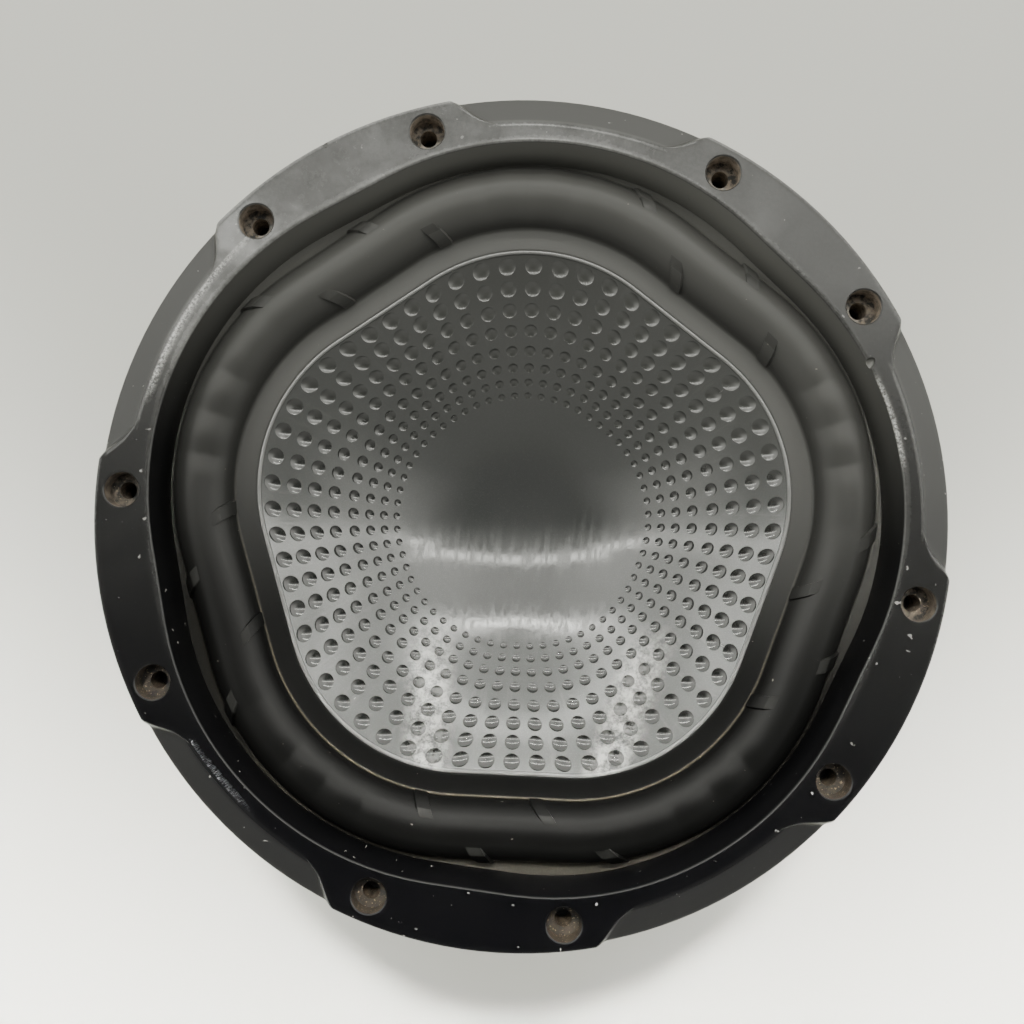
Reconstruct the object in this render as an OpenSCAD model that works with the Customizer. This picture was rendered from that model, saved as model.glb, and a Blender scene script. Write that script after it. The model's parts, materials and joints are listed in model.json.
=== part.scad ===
// Car subwoofer driver, ten inch class, in millimetres.
// The axis is Z, the front faces up and the part stands on its motor.
// A moulded trim ring and a stamped basket hold a rubber surround, a dished cone and a spider.
// The cone, former and coil move together along the axis.

/* [Cone] */
// Centre to the middle of a side of the cone's rim
cone_flat = 83; // [78:0.5:90]
// Corner radius of the rim's rounded pentagon
cone_corner_r = 58; // [50:0.5:66]
// Depth of the dish below the rim
cone_depth = 37; // [30:0.5:42]
// Share of the bell curve in the dish's section, the rest being a plain bowl
cone_bell = 0.4; // [0:0.05:0.8]
// Thickness of the cone's wall
cone_wall = 1.2; // [0.8:0.1:1.8]
// Width of the bead round the rim
bead_w = 1.4; // [1:0.1:2]
// Height of the bead above the surround's lip
bead_h = 0.6; // [0.3:0.1:1.2]
// Angle from the trim ring's corners to the cone's corners
cone_twist = 5.6; // [0:0.1:12]

/* [Surround] */
// Width of the flat lip on the cone
lip_w = 7.6; // [6:0.1:10]
// Width of the half roll
roll_w = 19.9; // [16:0.1:22]
// Height of the half roll
roll_h = 9.6; // [7:0.1:11]
// Thickness of the rubber
rubber_t = 1.2; // [0.8:0.1:1.6]
// Height of the lip above the outer flange
lip_rise = 1; // [0:0.1:2]
// Flat rubber between the roll and the trim ring, at the middle of a side
land_w = 3.1; // [2:0.1:5]
// Pleats at each corner
pleat_count = 6; // [2:2:8]
// Angle between pleats
pleat_pitch = 4; // [3:0.5:4]
// Depth of a pleat
pleat_depth = 0.8; // [0.3:0.1:1]

/* [Trim ring] */
// Width of the ring at the middle of a side
trim_w = 19; // [18:0.5:24]
// Height above the basket's flange
trim_h = 17.2; // [14:0.1:20]
// Taper of the opening from top to bottom
opening_draft = 2.4; // [1:0.1:4]
// How much rounder the opening is than the cone
corner_ease = 8; // [4:0.5:12]
// Chamfer round the top edge
trim_chamfer = 0.8; // [0.4:0.1:1.2]
// Distance of the screw holes from the outer edge
screw_edge = 8.3; // [7:0.1:9]
// Angle between the two screws of a pair
screw_pair_angle = 28; // [20:1:32]
// Diameter of the screw holes
screw_hole_d = 5.5; // [4:0.1:6.5]
// Diameter of the recess for a screw head
head_bore_d = 11; // [9:0.1:12]
// Depth of the recess for a screw head
head_bore_depth = 7; // [4:0.1:9]
// Width of a scallop, inward from the outer edge
scallop_w = 9.8; // [6:0.1:11]
// Drop of a scallop at the outer edge
scallop_drop = 4.3; // [2:0.1:6]
// Angle that a scallop spans at its inner edge
scallop_angle_in = 26.4; // [16:0.2:30]
// Angle that a scallop spans at the outer edge
scallop_angle_out = 34.8; // [24:0.2:38]

/* [Basket] */
// Depth from the flange's rear face to the surface that the driver stands on
mount_depth = 128.5; // [122:0.5:140]
// Thickness of the flange
flange_t = 1.5; // [1:0.1:2.5]
// Thickness of the pressed wall
steel_t = 1.8; // [1.2:0.1:2.4]
// Flange inside the trim ring's outer edge
flange_inset = 1; // [0.5:0.1:2]
// Room between the roll's foot and the flange's opening, at the middle of a side
throat_clear = 1.5; // [1:0.1:3]
// Width of the shelf from the flange's opening to the outside of the wall
throat_shelf = 4.5; // [4:0.1:6]
// Floor inside the edge of the top plate
floor_inset = 2; // [1:0.1:4]
// Floor's opening beyond the coil's gap
floor_bore_room = 7; // [5:0.5:10]
// Height of the spider's landing above the floor
land_rise = 26.5; // [24:0.5:32]
// Angle that a window spans
window_angle = 44; // [30:1:48]
// Wall left below and above a window
window_margin = 9; // [6:0.5:14]
// Corner radius of a window
window_corner = 5; // [3:0.5:8]
// Angle that a pressed rib spans
rib_angle = 3; // [2:0.5:5]
// Angle between the two ribs of an arm
rib_gap_angle = 13; // [9:0.5:18]
// Height of a pressed rib
rib_h = 1.4; // [0.8:0.1:2]

/* [Spider] */
// Outer radius
spider_r = 80; // [76:0.5:86]
// Width of the glued edge
spider_edge_w = 9; // [7:0.5:10]
// Waves between the coil and the edge
spider_waves = 5; // [3:1:6]
// Height of a wave each way
spider_wave_h = 2.2; // [1:0.1:3]
// Thickness of the cloth
spider_t = 0.8; // [0.5:0.1:1.2]
// Height of the cuff on the former
cuff_h = 5; // [3:0.5:8]
// Thickness of the cuff on the former
cuff_t = 1.2; // [0.8:0.1:2]
// Room between the spider's edge and the basket's wall
spider_side_room = 0.6; // [0.3:0.1:1]
// Landing inside the glued edge
landing_inset = 2; // [1:0.1:3]

/* [Motor] */
// Radius of the pole
pole_r = 24.5; // [22:0.1:27]
// Room on each side of the moving coil
coil_room = 0.65; // [0.5:0.05:1]
// Thickness of the former
former_t = 0.4; // [0.3:0.05:0.6]
// Thickness of the winding
winding_t = 1.25; // [0.8:0.05:1.6]
// Height of the winding
winding_h = 26; // [20:0.5:26]
// Radius of the vent through the pole
vent_r = 11; // [8:0.5:14]
// Pole above the top plate
pole_rise = 2.5; // [0:0.5:5]
// Radius of the top and back plates
plate_r = 66; // [64:0.5:67]
// Thickness of the top plate
top_plate_t = 8; // [6:0.5:10]
// Thickness of the back plate
back_plate_t = 8; // [6:0.5:10]
// Outer radius of the magnet
magnet_r = 70; // [69:0.5:76]
// Inner radius of the magnet
magnet_bore_r = 38; // [34:0.5:44]
// Thickness of the magnet
magnet_t = 22; // [21:0.5:26]
// Thickness of the rubber boot
boot_t = 2; // [1.5:0.1:3]
// Thickness of the boot under the back plate
boot_floor_t = 1.5; // [1:0.1:3]
// Width of the boot's floor
boot_floor_w = 24; // [16:0.5:30]
// Width of the groove round the boot's floor
boot_groove_w = 3; // [1.5:0.1:5]
// Depth of the groove round the boot's floor
boot_groove_d = 0.6; // [0.3:0.1:0.8]
// Radius of the vent screen
screen_r = 16; // [15:0.5:20]
// Thickness of the vent screen
screen_t = 1.2; // [0.8:0.1:1.8]
// Depth of the vent screen below the back plate's face
screen_recess = 0.8; // [0.4:0.1:1.5]
// Diameter of a hole in the vent screen
screen_hole_d = 2.2; // [1.4:0.1:2.4]
// Distance between holes in the vent screen
screen_pitch = 3.2; // [3:0.1:4]
// Rivets through the basket's floor
rivet_count = 10; // [5:1:12]
// Radius of a rivet's shank
rivet_r = 2; // [1.5:0.1:2.5]
// Radius of a rivet's head
rivet_head_r = 3.6; // [3:0.1:4.5]
// Height of a rivet's head
rivet_head_h = 1.8; // [1:0.1:2.5]
// Length of a rivet's shank
rivet_length = 8; // [5:0.5:9]
// Width of the collar that joins the former and the cone
collar_w = 5.4; // [3:0.1:7]
// Height of the collar at the former
collar_h = 7; // [4:0.5:9]

/* [Terminal] */
// Width of the block
block_w = 44; // [40:0.5:48]
// Height of the block
block_h = 24; // [22:0.5:26]
// Height of the block above the spider's landing
block_rise = 8; // [6:0.5:10]
// Depth of the block at its top
block_top_depth = 10; // [8:0.5:11]
// Distance between the two buttons
button_pitch = 17; // [14:0.5:20]
// Diameter of a button
button_d = 8.2; // [7:0.1:9]
// Running gap round a button
button_gap = 0.1; // [0.05:0.05:0.2]
// Length of a button
button_length = 15; // [14:0.5:16]
// Travel of a button
button_travel = 3; // [2:0.1:3.4]
// Button in front of the block when it is out
button_out = 4.5; // [3.5:0.1:6]
// Height of the buttons above the block's underside
button_rise = 10.5; // [10:0.1:12]
// Diameter of the wire holes
wire_hole_d = 3.4; // [2:0.1:3.8]
// Depth of the wire holes behind the block's face
wire_inset = 6; // [5:0.1:7]
// Wire diameter of a button's spring
spring_wire_d = 0.5; // [0.4:0.05:0.6]
// Turns of a button's spring
spring_turns = 5; // [4:0.5:6]
// Bore behind a button that is pressed in
button_end_room = 0.5; // [0.3:0.1:1]
// Room between a spring and its pocket
spring_room = 0.4; // [0.3:0.05:0.6]
// Depth of a spring's pocket in the button
pocket_depth = 4.8; // [3:0.1:5]
// Radius of a spring's pocket
pocket_r = 3; // [2.4:0.1:3.3]
// Width of a contact strip
contact_w = 5; // [4:0.1:6]
// Thickness of a contact strip
contact_t = 0.8; // [0.6:0.1:1]
// Height of the contact strips above the block's underside
contact_rise = 3.6; // [3:0.1:4.4]
// Length of a contact strip
contact_length = 27; // [24:0.5:30]
// Width of a snap leg
leg_w = 4; // [3:0.1:5]
// Height of a snap leg
leg_h = 6; // [4:0.1:8]
// Hook of a snap leg
leg_hook = 1.3; // [1:0.1:2]
// Length of a snap leg behind the basket's wall
leg_out = 4.4; // [3:0.1:6]
// Wall between a button's bore and a snap leg
leg_wall = 2.5; // [2:0.1:3]
// Room round a contact strip where it passes the wall
contact_room = 1.5; // [1:0.1:2]
// Diameter of a tinsel lead
lead_d = 2.4; // [1.6:0.1:3]

/* [Fits] */
// Gap between glued or seated curved faces
seat_gap = 0.1; // [0.05:0.05:0.2]
// Gap between the cone and what is glued below it
cone_seat_gap = 0.3; // [0.2:0.05:0.4]

/* [Hidden] */
sides = 5;
sector = 360 / sides;
half_sector = sector / 2;
cut = 1;
$fn = 96;

// Radial stack, from the cone's rim out to the trim ring's edge
roll_out_flat = cone_flat + lip_w + roll_w;
opening_low_flat = roll_out_flat + land_w;
opening_flat = opening_low_flat + opening_draft;
opening_corner_r = cone_corner_r + opening_flat - cone_flat + corner_ease;
trim_r = opening_flat + trim_w;
screw_circle_r = trim_r - screw_edge;
surround_screw_edge = 1.4;
surround_r = screw_circle_r - screw_hole_d / 2 - surround_screw_edge;
flange_r = trim_r - flange_inset;
throat_r = roll_out_flat + throat_clear;
wall_top_r = throat_r + throat_shelf;

// Heights, from the standing surface up
z_back = boot_floor_t;
z_magnet = z_back + back_plate_t;
z_top_plate = z_magnet + magnet_t;
z_floor = z_top_plate + top_plate_t;
z_land = z_floor + land_rise;
z_flange = mount_depth + flange_t;
z_flange_rear = mount_depth;
z_trim_top = z_flange + trim_h;
z_cone_seat = z_flange + lip_rise;
z_lip = z_cone_seat + rubber_t;
z_bead = z_lip + bead_h;

// Coil
former_in_r = pole_r + coil_room;
former_out_r = former_in_r + former_t;
winding_in_r = former_out_r + seat_gap;
winding_out_r = winding_in_r + winding_t;
gap_out_r = winding_out_r + coil_room;
z_winding = z_top_plate + top_plate_t / 2 - winding_h / 2;

// Depth of the dish at a share of the way from its centre to its rim
dish_flat = cone_flat - bead_w;
z_dish_edge = z_lip;
function dish_depth(share) = cone_depth
  * (cone_bell * (1 + cos(180 * share)) / 2 + (1 - cone_bell) * (1 - pow(share, 2)));

// Height of the dish's underside at a radius near the centre, where it is round
function dish_under(r) = z_dish_edge - dish_depth(r / dish_flat) - cone_wall;

// Collar between the former and the dish
collar_in_r = former_out_r + seat_gap;
z_collar_top = dish_under(collar_in_r) - cone_seat_gap;
z_collar = z_collar_top - collar_h;

// Basket wall, a cone from the landing to the flange
land_out_r = spider_r + spider_side_room + steel_t;
function wall_r(z) = land_out_r
  + (wall_top_r - land_out_r) * (z - z_land) / (z_flange_rear - z_land);
wall_across = steel_t * sqrt(1 + pow((wall_top_r - land_out_r) / (z_flange_rear - z_land), 2));
step_r = spider_r - spider_edge_w - landing_inset;
floor_r = plate_r - floor_inset;
floor_bore_r = gap_out_r + floor_bore_room;

// Terminal
z_block = z_land + block_rise;
block_face = wall_r(z_block + block_h) + block_top_depth;
z_button = z_block + button_rise;
z_contact = z_block + contact_rise;
bore_r = button_d / 2 + button_gap;
button_in = button_length - button_out;
bore_depth = button_in + button_travel + button_end_room;
spring_length = bore_depth - button_in + pocket_depth - 2 * seat_gap;
spring_coil_r = pocket_r - spring_room - spring_wire_d / 2;
leg_pitch = button_pitch + 2 * bore_r + leg_w + 2 * leg_wall;
z_leg = z_button - leg_h / 2;

// Lead tabs on the former, halfway between the spider's cuff and the collar
tab_w = 3;
tab_t = 0.6;
tab_h = 7;
tab_angle = 13;
tab_r = former_out_r + seat_gap + tab_t;
z_tab = (z_land + cuff_h + z_collar - tab_h) / 2;

// Tinsel leads, each from the end of a contact strip to a lead tab
lead_end_inset = 3;
// Route of a lead, as shares of the way along it and heights above the straight line
lead_route = [
  [0, 0],
  [0.04, 1.4],
  [0.12, 4.6],
  [0.21, 7.5],
  [0.32, 9.3],
  [0.43, 9.8],
  [0.55, 8.8],
  [0.67, 6.4],
  [0.78, 3.6],
  [0.89, 1.2],
  [1, 0],
];
lead_sides = 8;

// Distance from the centre to a rounded pentagon, at an angle from one of its corners
function pentagon_r(flat, corner_r, angle) = let(
    inner = flat - corner_r,
    off = abs(angle - sector * round(angle / sector)),
    vertex = inner / cos(half_sector),
    edge = flat / cos(half_sector - off),
    on_edge = edge * sin(half_sector - off) <= inner * tan(half_sector),
    arc = vertex * cos(off) + sqrt(pow(corner_r, 2) - pow(vertex * sin(off), 2))
  ) on_edge ? edge : arc;

// Outline points at a height, with a corner turned from +Y by twist
function outline(flat, corner_r, twist, z, angles) = [
  for (a = angles) let(turn = a + 90 + twist)
    pentagon_r(flat, corner_r, a) * [cos(turn), sin(turn), 0] + [0, 0, z]
];

function even_angles(count) = [for (j = [0 : count - 1]) 360 * j / count];

function flatten(lists) = [for (l = lists) each l];

// Triangles between ring number i and ring number k, of n points each
function band(i, k, n) = [
  for (j = [0 : n - 1]) each [
    [i * n + j, i * n + (j + 1) % n, k * n + j],
    [i * n + (j + 1) % n, k * n + (j + 1) % n, k * n + j],
  ]
];

// A solid whose section is a closed loop of rings
module loft_loop(rings) {
  n = len(rings[0]);
  m = len(rings);
  polyhedron(flatten(rings), flatten([for (i = [0 : m - 1]) band(i, (i + 1) % m, n)]));
}

// A solid from a list of rings, closed by a fan at each end
module loft_rings(rings, first_centre, last_centre) {
  n = len(rings[0]);
  m = len(rings);
  points = concat(flatten(rings), [first_centre, last_centre]);
  first_fan = [for (j = [0 : n - 1]) [n * m, (j + 1) % n, j]];
  last_fan = [for (j = [0 : n - 1]) [n * m + 1, (m - 1) * n + j, (m - 1) * n + (j + 1) % n]];
  bands = flatten([for (i = [0 : m - 2]) band(i, i + 1, n)]);
  polyhedron(points, concat(first_fan, bands, last_fan));
}

function unit(v) = v / norm(v);

// A round tube along a path, its rings set square to the path
module tube(path, radius, count, side_axis) {
  last = len(path) - 1;
  rings = [
    for (i = [0 : last]) let(
      t = unit(path[min(i + 1, last)] - path[max(i - 1, 0)]),
      n = unit(cross(t, side_axis)),
      b = cross(n, t)
    ) [for (k = [0 : count - 1]) path[i] + radius * (cos(360 * k / count) * n + sin(360 * k / count) * b)]
  ];
  loft_rings(rings, path[0], path[last]);
}

module ring(outer_r, inner_r, z, height) {
  translate([0, 0, z])
    difference() {
      cylinder(r = outer_r, h = height);
      translate([0, 0, -cut]) cylinder(r = inner_r, h = height + 2 * cut);
    }
}

// Copies at the middle of each scallop
module at_corners() {
  for (i = [0 : sides - 1]) rotate([0, 0, 90 + sector * i]) children();
}

// Copies at the middle of each land, where the arms stand too
module at_lands() {
  for (i = [0 : sides - 1]) rotate([0, 0, 90 + half_sector + sector * i]) children();
}

module at_screws() {
  at_lands()
    for (side = [-1, 1])
      rotate([0, 0, side * screw_pair_angle / 2]) translate([screw_circle_r, 0, 0]) children();
}

// A sloped cut in the ring's outer edge, between two slanted sides
module scallop() {
  inner = trim_r - scallop_w;
  over = scallop_w / 2;
  function at(r, a) = [r * cos(a), r * sin(a)];
  foot = at(inner, scallop_angle_in / 2);
  along = at(trim_r, scallop_angle_out / 2) - foot;
  near = foot - along / 2;
  far = foot + 3 * along;
  translate([0, 0, z_trim_top])
    intersection() {
      rotate_extrude()
        polygon([
          [inner, 0],
          [trim_r + over, -scallop_drop * (1 + over / scallop_w)],
          [trim_r + over, cut],
          [inner, cut],
        ]);
      translate([0, 0, -trim_h])
        linear_extrude(trim_h + cut)
          polygon([[near.x, -near.y], [far.x, -far.y], far, near]);
    }
}

module trim_opening() {
  slope = opening_draft / trim_h;
  angles = even_angles(120);
  low = opening_low_flat - slope * cut;
  high = opening_flat + slope * cut;
  ease = opening_corner_r - opening_flat;
  loft_rings(
    [
      outline(high, high + ease, 0, z_trim_top + cut, angles),
      outline(low, low + ease, 0, z_flange - cut, angles),
    ],
    [0, 0, z_trim_top + cut],
    [0, 0, z_flange - cut]
  );
}

module trim_ring() {
  seat_h = rubber_t + seat_gap;
  color("#232427")
    difference() {
      translate([0, 0, z_flange])
        rotate_extrude()
          polygon([
            [0, 0],
            [trim_r, 0],
            [trim_r, trim_h - trim_chamfer],
            [trim_r - trim_chamfer, trim_h],
            [0, trim_h],
          ]);
      trim_opening();
      translate([0, 0, z_flange - cut]) cylinder(r = surround_r + seat_gap, h = seat_h + cut);
      at_corners() scallop();
      at_screws() {
        translate([0, 0, z_flange - cut]) cylinder(d = screw_hole_d, h = trim_h + 2 * cut);
        translate([0, 0, z_trim_top - head_bore_depth]) cylinder(d = head_bore_d, h = head_bore_depth + cut);
      }
    }
}

// Angles round the surround, close together over the pleats at each corner
side_steps = 12;
pleat_half = pleat_count * pleat_pitch / 2;
side_step = (half_sector - pleat_half) / side_steps * 2;
pleat_angles = [for (k = [-pleat_count : pleat_count]) k * pleat_pitch / 2];
plain_angles = [for (k = [1 : side_steps - 1]) pleat_half + k * side_step];
surround_angles = [
  for (i = [0 : sides - 1]) each concat(
    [for (a = pleat_angles) sector * i + a],
    [for (a = plain_angles) sector * i + a]
  )
];

// Depth of the pleats at point number j of a ring
function pleat_at(j) = let(k = j % (len(pleat_angles) + len(plain_angles)))
  k < len(pleat_angles) && k % 2 == 1 ? pleat_depth : 0;

// One ring of the surround, at a distance out from the cone's rim
function surround_ring(out, z, pleat) = let(
    points = outline(cone_flat + out, cone_corner_r + out, cone_twist, z, surround_angles)
  ) [for (j = [0 : len(points) - 1]) points[j] - [0, 0, pleat * pleat_at(j)]];

roll_steps = 8;
// The roll's arc, from its inner foot to its outer foot, drawn in by inset
function roll_arc(inset) = [
  for (k = [0 : roll_steps]) let(
    a = 180 - 180 * k / roll_steps,
    share = k / roll_steps,
    base = (1 - share) * z_lip + share * (z_flange + rubber_t)
  ) surround_ring(
    lip_w + roll_w / 2 + (roll_w / 2 - inset) * cos(a),
    base - inset * (1 - sin(a)) + (roll_h - inset) * sin(a),
    sin(a)
  )
];

module surround() {
  edge = [for (a = surround_angles) surround_r * [cos(a + 90 + cone_twist), sin(a + 90 + cone_twist), 0]];
  top = concat(
    [surround_ring(cone_seat_gap, z_lip, 0)],
    roll_arc(0),
    [[for (p = edge) p + [0, 0, z_flange + rubber_t]]]
  );
  under_arc = roll_arc(rubber_t);
  under = concat(
    [[for (p = edge) p + [0, 0, z_flange]]],
    [for (k = [roll_steps : -1 : 0]) under_arc[k]],
    [surround_ring(cone_seat_gap, z_cone_seat, 0)]
  );
  color("#161617") loft_loop(concat(top, under));
}

cone_angles = even_angles(60);

// One ring of the dish, rounder toward the centre
function dish_ring(share, z) = let(
    flat = dish_flat * share,
    corner = (cone_flat - cone_corner_r) * pow(share, 3)
  ) outline(flat, flat - corner, cone_twist, z, cone_angles);

function rim_ring(out, z) = outline(cone_flat + out, cone_corner_r + out, cone_twist, z, cone_angles);

dish_steps = 12;

module cone() {
  bead_round = 0.3;
  seat_edge = 0.6;
  top = [for (i = [1 : dish_steps]) dish_ring(i / dish_steps, z_dish_edge - dish_depth(i / dish_steps))];
  rim = [
    rim_ring(bead_round - bead_w, z_bead),
    rim_ring(-bead_round, z_bead),
    rim_ring(0, z_bead - bead_round),
    rim_ring(0, z_cone_seat),
    rim_ring(lip_w - seat_edge, z_cone_seat),
    rim_ring(lip_w - seat_edge, z_cone_seat - cone_wall),
    rim_ring(-bead_w, z_cone_seat - cone_wall),
  ];
  under = [
    for (i = [dish_steps - 1 : -1 : 1])
      dish_ring(i / dish_steps, z_dish_edge - dish_depth(i / dish_steps) - cone_wall)
  ];
  color("#b4b6b8")
    loft_rings(
      concat(top, rim, under),
      [0, 0, z_dish_edge - dish_depth(0)],
      [0, 0, z_dish_edge - dish_depth(0) - cone_wall]
    );
}

module neck_collar() {
  outer = collar_in_r + collar_w;
  z_outer = dish_under(outer) - cone_seat_gap;
  color("#2b2b2d")
    rotate_extrude()
      polygon([
        [collar_in_r, z_collar],
        [collar_in_r + collar_w / 2, z_collar],
        [outer, z_outer - collar_h / 4],
        [outer, z_outer],
        [collar_in_r, z_collar_top],
      ]);
}

module coil_former() {
  top = dish_under(former_in_r) - cone_seat_gap;
  color("#c9a24a") ring(former_out_r, former_in_r, z_winding, top - z_winding);
}

module voice_coil() {
  color("#b5652c") ring(winding_out_r, winding_in_r, z_winding, winding_h);
}

module lead_tabs() {
  color("#c98a4b")
    for (side = [-1, 1])
      rotate([0, 0, side * tab_angle])
        translate([-tab_w / 2, -tab_r, z_tab]) cube([tab_w, tab_t, tab_h]);
}

module spider() {
  inner = former_out_r + seat_gap;
  cuff_out = inner + cuff_t;
  z_mid = z_land + spider_t / 2;
  wave_in = cuff_out + spider_t;
  wave_out = step_r - 2 * spider_t;
  steps = 8 * spider_waves;
  wave = [
    for (k = [0 : steps]) [
      wave_in + (wave_out - wave_in) * k / steps,
      z_mid + spider_wave_h * sin(360 * spider_waves * k / steps),
    ]
  ];
  half = [0, spider_t / 2];
  z_top = z_mid + spider_t / 2;
  top = concat([[cuff_out, z_top]], [for (p = wave) p + half], [[spider_r, z_top]]);
  under = concat([[spider_r, z_land]], [for (k = [steps : -1 : 0]) wave[k] - half]);
  color("#b98b2f")
    rotate_extrude()
      polygon(concat(
        [[inner, z_land + cuff_h], [inner, z_land]],
        [for (k = [len(under) - 1 : -1 : 0]) under[k]],
        [for (k = [len(top) - 1 : -1 : 0]) top[k]],
        [[cuff_out, z_land + cuff_h]]
      ));
}

module basket_shell() {
  rotate_extrude()
    polygon([
      [floor_bore_r, z_floor],
      [floor_r, z_floor],
      [step_r + steel_t, z_land - steel_t],
      [land_out_r, z_land - steel_t],
      [land_out_r, z_land],
      [wall_top_r, z_flange_rear],
      [flange_r, z_flange_rear],
      [flange_r, z_flange],
      [throat_r, z_flange],
      [throat_r, z_flange_rear],
      [wall_top_r - wall_across, z_flange_rear],
      [land_out_r - wall_across, z_land],
      [step_r, z_land],
      [floor_r - steel_t, z_floor + steel_t],
      [floor_bore_r, z_floor + steel_t],
    ]);
}

// A window through the wall, seen along a radius, with rounded corners
module window() {
  z_low = z_land + window_margin;
  z_high = z_flange_rear - window_margin;
  half_low = wall_r(z_low) * sin(window_angle / 2);
  half_high = wall_r(z_high) * sin(window_angle / 2);
  function arc(x, z, from) = [
    for (a = [from : 15 : from + 90]) [x + window_corner * cos(a), z + window_corner * sin(a)]
  ];
  rotate([90, 0, 90])
    translate([0, 0, step_r])
      linear_extrude(trim_r - step_r)
        polygon(concat(
          arc(half_high - window_corner, z_high - window_corner, 0),
          arc(window_corner - half_high, z_high - window_corner, 90),
          arc(window_corner - half_low, z_low + window_corner, 180),
          arc(half_low - window_corner, z_low + window_corner, 270)
        ));
}

// A rib pressed outward along an arm
module arm_rib() {
  z_low = z_land + window_margin / 2;
  z_high = z_flange_rear - window_margin / 2;
  sunk = wall_across / 2;
  rotate([0, 0, -rib_angle / 2])
    rotate_extrude(angle = rib_angle)
      polygon([
        [wall_r(z_low) - sunk, z_low],
        [wall_r(z_low + rib_h) + rib_h, z_low + rib_h],
        [wall_r(z_high - rib_h) + rib_h, z_high - rib_h],
        [wall_r(z_high) - sunk, z_high],
      ]);
}

// Holes in the wall for the contact strips and the block's snap legs
module terminal_slots() {
  depth = block_face - step_r;
  for (side = [-1, 1]) {
    translate([side * button_pitch / 2 - contact_w / 2 - contact_room, -block_face, z_contact - contact_room])
      cube([contact_w + 2 * contact_room, depth, contact_t + 2 * contact_room]);
    translate([side * leg_pitch / 2 - leg_w / 2 - leg_hook, -block_face, z_leg - seat_gap])
      cube([leg_w + 2 * leg_hook, depth, leg_h + 2 * seat_gap]);
  }
}

module basket() {
  terminal_arm = 2;
  color("#17181a")
    difference() {
      union() {
        basket_shell();
        for (i = [0 : sides - 1])
          if (i != terminal_arm)
            rotate([0, 0, 90 + half_sector + sector * i])
              for (side = [-1, 1]) rotate([0, 0, side * rib_gap_angle / 2]) arm_rib();
      }
      at_corners() window();
      at_screws() translate([0, 0, z_flange_rear - cut]) cylinder(d = screw_hole_d, h = flange_t + 2 * cut);
      at_rivets() translate([0, 0, z_floor - cut]) cylinder(r = rivet_r + seat_gap, h = steel_t + 2 * cut);
      terminal_slots();
    }
}

module at_rivets() {
  for (i = [0 : rivet_count - 1])
    rotate([0, 0, 90 + 360 * (i + 0.5) / rivet_count])
      translate([(floor_bore_r + floor_r - steel_t) / 2, 0, 0]) children();
}

module basket_rivets() {
  dome_r = (pow(rivet_head_r, 2) + pow(rivet_head_h, 2)) / (2 * rivet_head_h);
  color("#8f9296")
    at_rivets() {
      translate([0, 0, z_floor + steel_t - rivet_length]) cylinder(r = rivet_r, h = rivet_length);
      translate([0, 0, z_floor + steel_t])
        intersection() {
          cylinder(r = rivet_head_r, h = rivet_head_h);
          translate([0, 0, rivet_head_h - dome_r]) sphere(r = dome_r);
        }
    }
}

module top_plate() {
  color("#6d7074")
    difference() {
      ring(plate_r, gap_out_r, z_top_plate, top_plate_t);
      at_rivets()
        translate([0, 0, z_floor + steel_t - rivet_length - seat_gap])
          cylinder(r = rivet_r + seat_gap, h = rivet_length);
    }
}

module magnet() {
  color("#3a3b3d") ring(magnet_r, magnet_bore_r, z_magnet, magnet_t);
}

module yoke() {
  flare = 4;
  pocket = screen_t + screen_recess;
  pole_chamfer = 1;
  z_pole_top = z_floor + pole_rise;
  color("#74777b")
    rotate_extrude()
      polygon([
        [screen_r + seat_gap, z_back],
        [plate_r, z_back],
        [plate_r, z_magnet],
        [pole_r, z_magnet],
        [pole_r, z_pole_top - pole_chamfer],
        [pole_r - pole_chamfer, z_pole_top],
        [vent_r + flare, z_pole_top],
        [vent_r, z_pole_top - flare],
        [vent_r, z_back + pocket],
        [screen_r + seat_gap, z_back + pocket],
      ]);
}

module magnet_boot() {
  wrapped = max(magnet_r, plate_r);
  outer = wrapped + boot_t;
  wall_in = wrapped + seat_gap;
  plate_in = plate_r + seat_gap;
  lip_h = 1.5;
  floor_in = outer - boot_floor_w;
  groove_in = outer - boot_floor_w / 2 - boot_groove_w / 2;
  groove_out = groove_in + boot_groove_w;
  soft = 1.2;
  color("#1d1d1e")
    rotate_extrude()
      polygon([
        [floor_in, 0],
        [groove_in, 0],
        [groove_in, boot_groove_d],
        [groove_out, boot_groove_d],
        [groove_out, 0],
        [outer - soft, 0],
        [outer, soft],
        [outer, z_top_plate + lip_h - soft / 2],
        [outer - soft / 2, z_top_plate + lip_h],
        [plate_in, z_top_plate + lip_h],
        [plate_in, z_top_plate],
        [wall_in, z_top_plate],
        [wall_in, z_magnet],
        [plate_in, z_magnet],
        [plate_in, z_back],
        [floor_in, z_back],
      ]);
}

module vent_screen() {
  rows = floor((vent_r - screen_hole_d / 2) / screen_pitch);
  row_step = screen_pitch * sqrt(3) / 2;
  color("#2a2b2d")
    difference() {
      translate([0, 0, z_back + screen_recess]) cylinder(r = screen_r, h = screen_t);
      for (row = [-rows : rows])
        for (col = [-rows : rows])
          let(x = (col + (row % 2) / 2) * screen_pitch, y = row * row_step)
            if (norm([x, y]) < vent_r - screen_hole_d / 2)
              translate([x, y, z_back])
                cylinder(d = screen_hole_d, h = screen_recess + screen_t + cut, $fn = 24);
    }
}

// Everything inside the outer face of the basket's wall
module wall_core() {
  low = z_land - steel_t;
  rotate_extrude()
    polygon([
      [0, low],
      [land_out_r + seat_gap, low],
      [land_out_r + seat_gap, z_land],
      [wall_top_r + seat_gap, z_flange_rear],
      [0, z_flange_rear],
    ]);
}

// Copies at the left and right buttons, along the block's face
module at_buttons() {
  for (side = [-1, 1]) at_button(side) children();
}

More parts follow.
